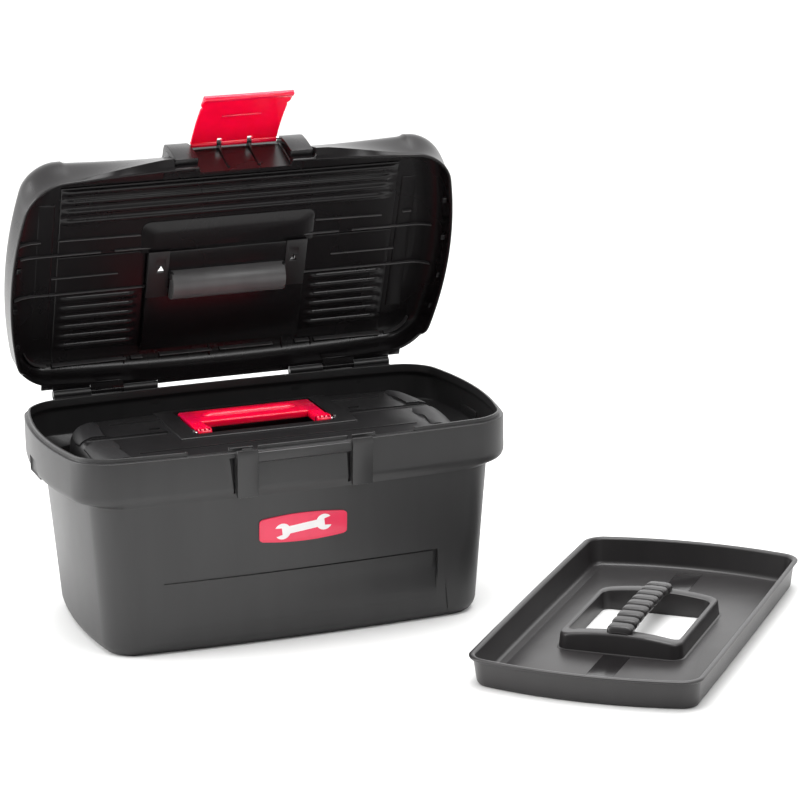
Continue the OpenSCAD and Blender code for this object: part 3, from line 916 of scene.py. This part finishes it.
def handle_well():
    """The well that the carry handle folds into, closed below, and the hollow inside it."""
    skin = 2.5
    x, y = WELL_X + skin, (WELL_Y[0] - skin, WELL_Y[1] + skin)
    walls = bevelled(block((-x, x), y, (WELL_Z - skin, LID_TOP - 1.8)), 1.2)
    bulge = bevelled(trough_rod(TROUGH_X + skin, TROUGH_R + skin), 0.8)
    hollow = block((-WELL_X, WELL_X), WELL_Y, (WELL_Z, LID_TOP + 5))
    return [walls, bulge], [hollow, trough_rod(TROUGH_X, TROUGH_R)]


def peep_hole(x):
    """The three-sided hole in a tab of the well's floor."""
    turns = [math.radians(30 + 120 * k) for k in range(3)]
    corners = [(x + PEEP_R * math.cos(a), PEEP_Y + PEEP_R * math.sin(a)) for a in turns]
    return flat_plate(corners, WELL_Z - 8, WELL_Z + 5)


def latch_boss():
    y = FRONT
    profile = [
        (y + 3, RIM_Z + 7.5), (y - 6, RIM_Z + 7.5), (y - 4.6, RIM_Z + 30), (y - 2.4, RIM_Z + 43),
        (y + 1.5, RIM_Z + 51), (y + 9, LID_TOP - 1.5), (y + 28, LID_TOP - 1.5), (y + 28, LID_TOP - 14),
        (y + 6, RIM_Z + 30),
    ]

    def flare(y_at, z):
        return 3.0 * smooth((y_at - FRONT + 5) / 7) * (1 - smooth((z - RIM_Z - 6) / 44))

    return bevelled(prism(profile, BOSS_X[0], BOSS_X[1] - 1.5, flare), 1.0, 3)


def latch_recess():
    back = block((-BOSS_X[0] - 1, BOSS_X[0] + 1), (RECESS_Y, RECESS_Y + WALL), (LID_Z + 5.6, RIM_Z + 51))
    slope = [
        (RECESS_Y + 0.1, RIM_Z + 34), (RECESS_Y + WALL, RIM_Z + 34), (RECESS_Y + 20, LID_TOP - 8),
        (RECESS_Y + 20, LID_TOP - 1.4), (RECESS_Y + 8, LID_TOP - 2), (RECESS_Y + 0.1, RIM_Z + 50.5),
    ]
    return [bevelled(back, 0.4), prism(slope, -BOSS_X[0] - 1, BOSS_X[0] + 1)]


def lug(x):
    """A curved ear that carries the latch's pin, running down the recess as a rib."""
    y, z = LATCH.y, LATCH.z
    profile = circle(y, z, 3.0, 20)
    rib = [
        (y, z + 2.4), (y + 6, z + 1), (RECESS_Y + 2, z - 6), (RECESS_Y + 1, RIM_Z + 6),
        (RECESS_Y - 1.4, RIM_Z + 6), (RECESS_Y - 2.2, z - 18), (y, z - 2.6),
    ]
    return [prism(profile, x - 2.2, x + 2.2), bevelled(prism(rib, x - 1.3, x + 1.3), 0.3)]


def lid_hinge():
    y, z = HINGE.y, HINGE.z
    profile = [
        (y - 11, z + 1.5), (y - 3, z - 3.3), (y + 3.4, z + 2.9), (y - 7, z + 13.5), (y - 11, z + 13.5),
    ]
    return hinge_leaves(profile, HINGE_X[1], HINGE_X[2] - 0.3, HINGE, KNUCKLE_R)


def gusset(x, y0, y1, low, high):
    """A small three-cornered web between the ceiling and the rear wall."""
    return bevelled(prism([(y0, high), (y1, high), (y1, low)], x - 0.9, x + 0.9), 0.2)


def ceiling_parts():
    """The ceiling's panels with their ridges, and the plateau in front of the well."""
    front = ceiling_panel((-CENTRE_X, CENTRE_X), (-100, WELL_Y[0] - 2.6), front_ridges, pitch=(7, 1.1))
    rear = ceiling_panel((WELL_X + 2.6, CENTRE_X), (WELL_Y[0] - 2.5, 118), rear_ridges, pitch=(4, 1.2))
    end = ceiling_panel((CENTRE_X + 5, 208), (-80, 88), lambda x, y: 0.9 * smooth((212 - abs(x)) / 16))
    return [front, *both(rear), *both(end), arch_plateau()]


def ceiling_ribs():
    """The thin ribs along the ceiling and round its rear corners."""
    lines = (
        ((-226, -18), (-139, -18)), ((-124, -18), (125, -18)), ((140, -18), (230, -18)),
        ((-231, 31), (-WELL_X - 2, 31)), ((WELL_X + 2, 31), (233, 31)), ((-186, -36), (-97, -35)),
        ((97, -35), (172, -34)), ((-236, -36), (-205, -36)), ((196, -36), (206, -36)),
    )
    ribs = [thin_rib(line) for line in lines] + both(thin_rib(((119, 11), (191, 11)), 1.4, 3.4))
    for x0, x1 in ((-186, -104), (-98, -86), (-66, -8), (2, 62), (88, 104), (110, 186)):
        ribs.append(thin_rib(((x0, 120), (x1, 120)), 1.6, 5.0))
    turns = [math.radians(15 * k) for k in range(6)]
    arc = [(192 + 26 * math.sin(a), 95 + 25 * math.cos(a)) for a in turns]
    return ribs + both(thin_rib(arc, 1.5, 3.6))


def rim_parts():
    """Small ramps and webs, the flanges at the hinge, and the tabs, hooks and skirts at the rim."""
    solids = []
    for x in (125, 139):
        foot = ceiling(x, -18)
        ramp = [(x - 4, -18, foot), (x + 4, -18, foot)]
        solids += both(swept(ramp, [(0.7, 1), (0.3, -2.6), (-0.3, -2.6), (-0.7, 1)]))
    for x in (-106, -10, 73, 106):
        solids.append(gusset(x, 110, 126, RIM_Z + 30, ceiling(x, 112) + 0.5))
    flange_z = (HINGE.z + 0.5, HINGE.z + 2.8)
    flanges = [block((-74.3, 74.3), (HINGE.y - 6.5, HINGE.y - 0.6), flange_z)]
    for x_range, inner, outer in (
        ((75.3, 112.7), 8, 4.7), ((149.3, 190.3), 11.5, 4.7), ((190.5, 203), 13.5, 6.5),
    ):
        flanges += both(block(x_range, (HINGE.y - inner, HINGE.y - outer), flange_z))
    solids += [bevelled(flange, 0.4) for flange in flanges]
    for x, y in ((231, -65), (235, -17), (236, 32), (232, 72), (-234, -22), (-236, 28), (-231, 74)):
        bead = block((x - 2.5, x + 2.5), (y - 3, y + 3), (LID_Z + 5.4, LID_Z + 8.2))
        solids.append(bevelled(bead, 0.5))
    tab = block((79, 86), (FRONT - 1.6, FRONT + 4), (LID_Z + 5.5, LID_Z + 12.5))
    hook = block((80, 118), (FRONT + 3.2, FRONT + 4.6), (LID_Z + 1.4, LID_Z + 6))
    skirt = block((48.5, 52.5), (RECESS_Y - 3, RECESS_Y + WALL), (LID_Z + 5.6, RIM_Z + 30))
    for solid, edge in ((tab, 0.6), (hook, 0.4), (skirt, 0.8)):
        solids += both(bevelled(solid, edge))
    return solids


def well_tabs():
    """The tabs under the well's floor with their peep holes, and the notches at the trough's ends."""
    plate = bevelled(block((65, 88.2), (WELL_Y[0] - 3.6, 42), (WELL_Z - 3.7, WELL_Z - 2.2)), 0.5)
    dent = bevelled(block((69, 79), (-6, 3.2), (WELL_Z - 8, WELL_Z - 2.9)), 0.4)
    tab = combined(plate, [peep_hole(PEEP_X), dent], "DIFFERENCE")
    notch = block((60.5, 64.5), (TROUGH_Y - 17, TROUGH_Y - 9), (WELL_Z - 9, WELL_Z - 2))
    return both(tab) + both(bevelled(notch, 0.8))


def make_lid(plastic, tab_finish_and_painted_sheen, rib_painted_highlight_plastic, grain_and_painted_highlight):
    walls, hollows = handle_well()
    shell = combined(lid_shell(), walls, "UNION")
    shell = combined(shell, hollows + [peep_hole(PEEP_X), peep_hole(-PEEP_X)], "DIFFERENCE")
    solids = [shell, *both(latch_boss()), *latch_recess(), *lug(LUG_X), *lug(-LUG_X), *lid_hinge()]
    solids += ceiling_parts() + rim_parts()
    piece("toolbox_lid_moulding", solids, "toolbox_lid", plastic, "lid", OPENED)
    piece("lid_ceiling_ribs", ceiling_ribs(), "toolbox_lid", rib_painted_highlight_plastic, None, OPENED)
    piece("lid_handle_trough", [trough_skin()], "toolbox_lid", grain_and_painted_highlight, None, OPENED)
    piece("lid_well_tabs", well_tabs(), "toolbox_lid", tab_finish_and_painted_sheen, None, OPENED)


# ---- Latch ----

LATCH_SPAN, LATCH_LEAN, LATCH_TURN = 86, math.radians(17), math.radians(18)
LATCH_T = 3.0
LATCH_HALF = 48


def make_latch(red):
    bend = LATCH_SPAN / LATCH_TURN
    centre = (LATCH.y + bend * math.cos(LATCH_LEAN), LATCH.z - bend * math.sin(LATCH_LEAN))

    def on_arc(along, out):
        turn = LATCH_LEAN - along / bend
        r = bend + out
        return centre[0] - r * math.cos(turn), centre[1] + r * math.sin(turn)

    def half_width(along):
        body = LATCH_HALF - 1.0
        notch = 1.2 * math.exp(-((along - 64) / 2.5) ** 2)
        return mix(body, LATCH_HALF + 0.4, smooth((along - 65) / 4)) - notch

    def section(along):
        half, edge = half_width(along), 0.8
        thick = LATCH_T / 2 + 1.0 * smooth((along - 76) / 6)
        ring = []
        for x, out in (
            (half, -thick + edge), (half, thick - edge), (half - edge, thick), (-half + edge, thick),
            (-half, thick - edge), (-half, -thick + edge), (-half + edge, -thick), (half - edge, -thick),
        ):
            y, z = on_arc(along, out)
            ring.append((x, y, z))
        return ring

    plate = skinned([section(a) for a in steps(0, LATCH_SPAN - 1.5, 1.6)])
    tip_y, tip_z = on_arc(LATCH_SPAN - 2.4, -0.6)
    bead = bevelled(rod(-LATCH_HALF + 0.2, LATCH_HALF - 0.2, tip_y, tip_z, 2.9, 24), 1.0)
    barrel = bevelled(rod(-LATCH_HALF + 1.6, LATCH_HALF - 1.6, LATCH.y, LATCH.z, 3.5, 36), 0.5)
    body = combined(plate, [barrel], "UNION")
    slots = both(block((13.8, 19.2), (LATCH.y - 7, LATCH.y + 8), (LATCH.z - 8.5, LATCH.z + 6)))
    body = combined(body, slots, "DIFFERENCE")
    hook_y, hook_z = on_arc(47, -LATCH_T / 2)
    hook = bevelled(rod(-21, 21, hook_y, hook_z, 1.1, 16), 0.3)
    solids = [body, bead, hook]
    turned = OPENED @ about(LATCH, -lowest("latch_hinge"))
    piece("latch_plate", solids, "main_latch", red, "latch", turned)


def make_carry_handle(plastic):
    arm_x = (78.5, 84)
    y, z = HANDLE.y, HANDLE.z
    grip_y = (84, 92)
    arm = [(y, z - 6), (grip_y[1], z - 6), (grip_y[1], z + 6), (y, z + 6)]
    solids = both(bevelled(prism(arm, arm_x[0], arm_x[1] - 0.2), 1.2, 3))
    solids += both(bevelled(rod(*arm_x, y, z, 8, 36), 0.8))

    def ring(x):
        waist = 0.9 * corrugation(x, tuple(range(-55, 56, 10)), 3.6) if abs(x) < 59 else 0.0
        r = 7.5 - waist - 2.0 * smooth((abs(x) - 82) / 3)
        left, right = circle(grip_y[0], z, r, 32), circle(grip_y[1], z, r, 32)
        return [(x, *(right[k] if k < 8 or k >= 24 else left[k])) for k in range(32)]

    solids.append(skinned([ring(x) for x in steps(-84, 84, 1.5)]))
    piece("carry_handle_moulding", solids, "main_handle", plastic, "carry_handle", OPENED)


# ---- Tray, drawn along its own axes ----

GRIP_HALF = 13.5
DECK = (81, 65, 20)
WINDOW = (64, 58)
TRAY_YAW = math.radians(49.5)
TRAY_H = 31.6


def rounded_ring(half_u, half_v, radius, z, n=8):
    """A rounded rectangle at height z, with points along its straight sides."""
    points = []
    mid_u, mid_v = half_u - radius, half_v - radius
    ends = ((-mid_u, half_v), (-half_u, -mid_v), (mid_u, -half_v), (half_u, mid_v))
    for quadrant, (su, sv) in enumerate(((1, 1), (-1, 1), (-1, -1), (1, -1))):
        for k in range(n + 1):
            turn = math.pi / 2 * (quadrant + k / n)
            points.append((su * mid_u + radius * math.cos(turn), sv * mid_v + radius * math.sin(turn)))
        (u0, v0), (u1, v1) = points[-1], ends[quadrant]
        points += [(mix(u0, u1, t / 12), mix(v0, v1, t / 12)) for t in range(1, 12)]
    return [(u, v, z) for u, v in points]


def bar_lift(v):
    """How far the frame's end bars arch up."""
    return 5.0 * (1 - min(abs(v) / WINDOW[1], 1.0) ** 2)


def tray_deck():
    """The raised frame round the two windows, its end bars arching up to the grip."""
    def arched(ring):
        out = []
        for u, v, z in ring:
            lift = bar_lift(v) * smooth((abs(u) - 50) / 14)
            out.append((u, v, z + (lift if z > 8 else 0.0)))
        return out

    top = DECK[2]
    rows = [
        (DECK[0] + 2.6, DECK[1] + 2.6, 14, 2.0), (DECK[0] + 2.2, DECK[1] + 2.2, 14, 3.6),
        (DECK[0] + 0.4, DECK[1] + 0.4, 12.5, 4.2), (DECK[0] - 0.8, DECK[1] - 0.8, 12, top - 3.2),
        (DECK[0] - 1.3, DECK[1] - 1.3, 11.6, top - 1.5), (DECK[0] - 2.6, DECK[1] - 2.3, 11, top - 0.3),
        (DECK[0] - 4.2, DECK[1] - 3.4, 10, top), (WINDOW[0] + 2.0, WINDOW[1] + 1.6, 9, top),
        (WINDOW[0] + 0.5, WINDOW[1] + 0.4, 8, top - 0.8), (WINDOW[0], WINDOW[1], 8, top - 2.2),
        (WINDOW[0] - 0.6, WINDOW[1] - 0.6, 8, 0.3), (WINDOW[0] + 4, WINDOW[1] + 3, 9, 0.3),
    ]
    return skinned([arched(rounded_ring(*row)) for row in rows], closed=True)


def tray_grip():
    """The arched grip: nine rounded cross ribs on a strap that runs down into the end bars."""
    tray_top = size_of("tray").z
    span, rise = DECK[0] - 2, 3.0
    bend = (span * span + rise * rise) / (2 * rise)
    pitch = 17.6
    ribs_end = 4.5 * pitch

    def section(u):
        crown = tray_top - bend + math.sqrt(bend * bend - u * u)
        away = smooth((abs(u) - 56) / 10)
        phase = min(1.0, abs((u / pitch + 0.5) % 1.0 - 0.5) * 2)
        ridge = math.sqrt(max(0.0, 1 - (1.22 * phase) ** 5))
        top = crown + 0.6 - 6.0 * (1 - ridge)
        low = crown - 9.5 - 2.5 * away
        half = GRIP_HALF - 3.4 * (1 - ridge)
        mid, tall = (top + low) / 2, (top - low) / 2
        ring = []
        for k in range(28):
            c, d = math.cos(2 * math.pi * k / 28), math.sin(2 * math.pi * k / 28)
            across, up = math.copysign(abs(c) ** 0.5, c), math.copysign(abs(d) ** 0.7, d)
            ring.append((u, half * across, mid + tall * up))
        return ring

    return skinned([section(u) for u in steps(-ribs_end + 0.4, ribs_end - 0.4, 0.75)])


def make_tray(plastic, smooth_plastic):
    low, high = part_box("tray")
    centre = (low + high) / 2 / MM
    place = Matrix.Translation((centre.x, centre.y, 0)) @ Matrix.Rotation(TRAY_YAW, 4, "Z")
    top = TRAY_H
    shell = lofted(levels(
        (0, TRAY_FOOT, 12, 0), (0, TRAY_FOOT, 2.2, 1.6), (3.2, TRAY_FOOT, 0, 2),
        (top - 4.2, TRAY_HEAD, 0, 0.8), (top - 3.4, TRAY_RIM, 0.6, 1.2), (top - 1.0, TRAY_RIM, 0, 0.9),
        (top, TRAY_RIM, 1.6, 1.0), (top - 0.2, TRAY_HEAD, 0.6, 0.9), (top - 2.0, TRAY_HEAD, 2.2, 0.9),
        (5.5, TRAY_FOOT, 2.8, 2.0), (2.6, TRAY_FOOT, 5.0, 1.8), (2.6, TRAY_FOOT, 12, 0),
    ))
    opening = flat_plate([(u, v) for u, v, z in rounded_ring(DECK[0] - 3, DECK[1] - 3, 9, 0)], -3, 12)
    shell = combined(shell, [opening], "DIFFERENCE")
    floor = bevelled(block((-197, 197), (-99, 99), (1.8, 3.3)), 0.25)
    floor = combined(floor, [opening], "DIFFERENCE")
    crest = DECK[2] - 0.4
    bar = relief(
        steps(66, 76, 5), steps(-52, 52, 4), lambda u, v: (u, v),
        lambda u, v: crest + bar_lift(v) - 6, lambda u, v: crest + bar_lift(v) + 0.2,
    )
    solids = [shell, tray_deck(), floor, *both(bar)]
    piece("tray_moulding", solids, "loose_tray", plastic, "tray", place)
    piece("tray_grip_moulding", [tray_grip()], "loose_tray", plastic, None, place)
    strips = both(bevelled(block((DECK[0] + 3.5, 196), (-14, 14), (2.0, 3.55)), 0.2))
    piece("tray_smooth_strips", strips, "loose_tray", smooth_plastic, None, place)


# ---- Smaller case stored inside ----

CASE_HINGE = pivot("case_lid_hinge")
CASE_RIM_Z = CASE_HINGE.z - 4.5
CASE_Y = -3.0
CASE_LID_Z = CASE_RIM_Z + 0.5
CASE_LATCH = pivot("case_latch_hinge")
CASE_HANDLE = pivot("case_handle_hinge")
CASE_WELL_X, CASE_WELL_Y, CASE_WELL_Z = 76, (-14, 78), CASE_RIM_Z + 23
CASE_SKIN = 2.5
CASE_KNUCKLE_R = 3.6
CASE_CURVE = ((0, 0.0), (18.5, 1.0), (26.5, 4), (32.5, 10), (35.5, 19))


def case_crown(x, y):
    """Height of the case lid's outer face."""
    return CASE_LID_Z + height_on(CASE_ROWS, depth_inside(CASE_RIM, x, y - CASE_Y))


CASE_ROWS = curve_levels(CASE_CURVE)


def make_case_tub(plastic):
    rim, head, foot = CASE_RIM, CASE_HEAD, CASE_FOOT
    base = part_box("case_tub")[0].z / MM
    t = 2.6
    shell = lofted(levels(
        (base, foot, 14, 0), (base, foot, 5, 2.5), (base + 7, foot, 0, 4), (CASE_RIM_Z - 29, head, 0, 1.5),
        (CASE_RIM_Z - 23, rim, 2, 2.5), (CASE_RIM_Z - 18, rim, 0, 2.5), (CASE_RIM_Z, rim, 0, 0.7),
        (CASE_RIM_Z, rim, 3.2, 0.4), (CASE_RIM_Z + 3.5, rim, 3.2, 0.6), (CASE_RIM_Z + 3.5, rim, 5.4, 0.6),
        (CASE_RIM_Z - 4, rim, 5.4, 1), (CASE_RIM_Z - 7, rim, t, 1.5), (CASE_RIM_Z - 16, rim, t, 2),
        (CASE_RIM_Z - 26, head, t, 2), (base + 9, foot, t, 4), (base + t, foot, 8, 2),
        (base + t, foot, 14, 0),
    ), shift_y=CASE_Y)
    front = CASE_Y - CASE_RIM[1] / 2
    lip = bevelled(block((-26, 26), (front - 2.2, front + 2.8), (CASE_RIM_Z - 6, CASE_RIM_Z - 0.6)), 0.5)
    y, z = CASE_HINGE.y, CASE_HINGE.z
    leaf = [
        (y - 9, CASE_RIM_Z - 10), (y - 4, CASE_RIM_Z - 12), (y + 2.6, z - 2.6), (y, z),
        (y - 9, CASE_RIM_Z - 0.1),
    ]
    solids = [shell, lip]
    for x0, x1 in ((60, 85.7), (114, 140)):
        solids += hinge_leaves(leaf, x0, x1, CASE_HINGE, CASE_KNUCKLE_R)
    piece("inner_case_body", solids, "inner_case", plastic, "case_tub")


def case_pad(x_range, y_range, height):
    """A raised pad on the case lid, its inner edge waved like an S."""
    def at(u, v):
        wave = 5.0 * math.sin((v - y_range[0]) / (y_range[1] - y_range[0]) * 2 * math.pi)
        share = (x_range[1] - u) / (x_range[1] - x_range[0])
        reach = CASE_RIM[0] / 2 - CASE_RIM[3] * (2 * (v - CASE_Y) / CASE_RIM[1]) ** 2 - 4.0
        return min(u + wave * share, reach + (u - x_range[1])), v

    return relief(
        with_edges(*x_range, 4), with_edges(*y_range, 4), at,
        lambda x, y: case_crown(x, y) - 2.0,
        lambda x, y: case_crown(x, y) + height * min(1.0, smooth((abs(x) - x_range[0] + 6) / 5)),
    )


def case_lid_shell():
    """The case lid's moulding, with its handle well, plinth and channels."""
    rows = [(CASE_LID_Z + z, i, *CASE_RIM) for z, i in CASE_ROWS]
    inner_curve = ((32.9, 21), (29.5, 12), (24.5, 6.5), (17.5, 3.4), (0.4, 2.7))
    inner = [(CASE_LID_Z + z, i, *CASE_RIM) for z, i in inner_curve]
    edge = [(CASE_LID_Z + z, i, *CASE_RIM) for z, i in ((0, 2.2), (0, 0.5), (0.5, 0.05))]

    def warp(x, y, z):
        if y > CASE_HINGE.y - 30 and z < CASE_HINGE.z + 0.6:
            z = mix(z, CASE_HINGE.z + 0.6, smooth((y - CASE_HINGE.y + 30) / 8))
        return x, y, z

    x, y = CASE_WELL_X + CASE_SKIN, (CASE_WELL_Y[0] - CASE_SKIN, CASE_WELL_Y[1] + CASE_SKIN)
    walls = block((-x, x), y, (CASE_WELL_Z - CASE_SKIN, CASE_LID_Z + 33.8))
    plinth = bevelled(block((-96, 96), (-27, 86), (CASE_LID_Z + 30, CASE_LID_Z + 37)), 1.2, 3)
    above = CASE_LID_Z + 60
    hollow = bevelled(block((-CASE_WELL_X, CASE_WELL_X), CASE_WELL_Y, (CASE_WELL_Z, above)), 2.0)
    channel = bevelled(block((100, 215), (1, 14), (CASE_LID_Z + 33.0, above)), 1.0)
    slot = bevelled(block((104, 116), (24, 30), (CASE_LID_Z + 33.4, above)), 0.6)
    shell = lofted(inner + edge + rows[1:], SIDE_STEPS, warp, CASE_Y)
    shell = combined(shell, [walls, plinth], "UNION")
    return combined(shell, [hollow, *both(channel), *both(slot)], "DIFFERENCE")


def make_case_lid(plastic, pad_painted_light_plastic):
    solids = [case_lid_shell()]
    ear = circle(CASE_HANDLE.y, CASE_HANDLE.z, 4.6, 24)
    solids += both(prism(ear, CASE_WELL_X, CASE_WELL_X + CASE_SKIN))
    for y0 in (-58, 60):
        ledge = block((-150, 150), (y0 - 1.2, y0 + 1.2), (CASE_LID_Z + 33.5, CASE_LID_Z + 36.6))
        solids.append(bevelled(ledge, 0.5))
    y, z = CASE_LATCH.y, CASE_LATCH.z
    lug_profile = [
        (y - 2.8, z - 1), (y, z - 3), (y + 8, z - 3), (y + 8, z + 2.5), (y, z + 3), (y - 2.8, z + 1),
    ]
    solids += both(bevelled(prism(lug_profile, 12, 16), 0.5))
    y, z = CASE_HINGE.y, CASE_HINGE.z
    leaf = [(y - 8, z + 1.5), (y - 2.4, z - 2.6), (y + 2.7, z + 2.3), (y - 5, z + 10), (y - 8, z + 10)]
    solids += hinge_leaves(leaf, 86, 113.7, CASE_HINGE, CASE_KNUCKLE_R)
    piece("inner_case_lid_moulding", solids, "inner_case_lid", plastic, "case_lid")
    pads = []
    for y_range in ((-72, -2), (17, 74)):
        pads += both(case_pad((166, 194), y_range, 1.8))
    piece("inner_case_lid_pads", pads, "inner_case_lid", pad_painted_light_plastic)


def make_case_latch(red):
    y, z = CASE_LATCH.y, CASE_LATCH.z
    half = size_of("case_latch").x / 2
    profile = [
        (-2.6, 0), (0, 0), (-0.4, -30), (0.4, -31.5), (0.4, -35), (-0.6, -37), (-0.8, -41),
        (-3.2, -41), (-3.4, -28),
    ]
    plate = bevelled(prism([(y + a, z + b) for a, b in profile], -half, half), 0.4)
    barrel = rod(-half, half, y, z, 2.6)
    slots = both(block((11.2, 16.8), (y - 5, y + 7), (z - 8, z + 6)))
    body = combined(combined(plate, [barrel], "UNION"), slots, "DIFFERENCE")
    piece("inner_case_latch_plate", [body], "inner_case_latch", red, "case_latch")


def make_case_handle(red):
    y, z = CASE_HANDLE.y, CASE_HANDLE.z
    half = 73
    arm = [(y, z - 3.8), (68, z - 3.8), (68, z + 3.7), (y, z + 3.7)]
    solids = both(bevelled(rod(58, half, y, z, 5.5, 36), 0.8))
    solids += both(bevelled(prism(arm, 58, half - 0.2), 1.4, 3))
    for x in (59.5, 64.3, 69.1):
        solids += both(bevelled(block((x, x + 2.4), (y - 4.5, y + 5), (z + 3, z + 5.9)), 0.7))
    solids.append(bevelled(block((-half, half), (26, 70), (z - 4, z + 4)), 2.0, 4))

    def bulge(x):
        r = 7.4 * math.sqrt(max(0.02, 1 - max(0.0, (abs(x) - 40) / 14) ** 2))
        return [(x, a, b) for a, b in circle(49, z + 0.4, r, 32)]

    solids.append(skinned([bulge(x) for x in steps(-53, 53, 1.5)]))
    piece("inner_case_handle_grip", solids, "inner_case_handle", red, "case_handle")


def main():
    make_camera()
    make_world()
    make_floor()
    area_light("top_softbox", (0.2, -0.2, 2.6), (0.1, 0.0, 0.1), (2.6, 1.6), 70)
    area_light("left_softbox", (-2.6, 0.7, 1.1), (-0.2, 0.0, 0.15), (1.6, 1.8), 70)
    area_light("front_softbox", (0.9, -1.9, 1.7), (0.0, 0.1, 0.4), (1.2, 0.5), 18)

    tub = moulded("tub_plastic", (0.0185, 0.018, 0.0185), 0.42, grain=0.16, spread=0.05)
    lid = moulded("lid_plastic", (0.008, 0.007, 0.0075), 0.28, grain=0.07, spread=0.05, specular=0.28)
    # The tabs are moulded with the lid. Their lighter colour is painted sheen; their higher roughness is a
    # real finish.
    tab_finish_and_painted_sheen = moulded("lid_tab_finish_and_painted_sheen", (0.014, 0.0135, 0.014), 0.5, grain=0.14)
    # The ribs are moulded with the lid. Their lighter colour is a painted highlight along them.
    ribs_painted_highlight = moulded("lid_rib_painted_highlight_plastic", (0.042, 0.040, 0.041), 0.34, grain=0.08)
    # The trough is moulded with the lid. Its much lighter colour is a painted highlight; its coarser grain
    # is real.
    grain_and_painted_highlight = moulded("lid_trough_painted_highlight_plastic", (0.105, 0.102, 0.103), 0.42, grain=0.30)
    tray = moulded("tray_plastic", (0.018, 0.0165, 0.017), 0.36, grain=0.16, spread=0.05)
    tray_strip = moulded("tray_smooth_plastic", (0.010, 0.009, 0.0095), 0.22, grain=0.05)
    case = moulded("case_plastic", (0.009, 0.0085, 0.009), 0.36, grain=0.10)
    # The pads are moulded with the case lid. Their lighter colour is painted light on their slopes; their
    # roughness is real.
    case_pads_painted_light = moulded("case_pad_painted_light_plastic", (0.0115, 0.011, 0.0118), 0.5, grain=0.14)
    red = glowing_red("red_plastic")
    label = moulded("label_red", (0.78, 0.030, 0.090), 0.35, grain=0.03, flow=0.04, coat=0.2)
    white = moulded("label_white", (0.85, 0.83, 0.83), 0.40, grain=0.02, flow=0.02)
    steel = wire_steel()

    make_tub(tub)
    make_badge(label, white)
    make_lid(lid, tab_finish_and_painted_sheen, ribs_painted_highlight, grain_and_painted_highlight)
    make_latch(red)
    make_carry_handle(lid)
    make_tray(tray, tray_strip)
    make_case_tub(case)
    make_case_lid(case, case_pads_painted_light)
    make_case_latch(red)
    make_case_handle(red)
    for node, holder in frame["nodes"].items():
        if "pin" in node.split("_"):
            holder.data.materials.clear()
            holder.data.materials.append(steel)


main()
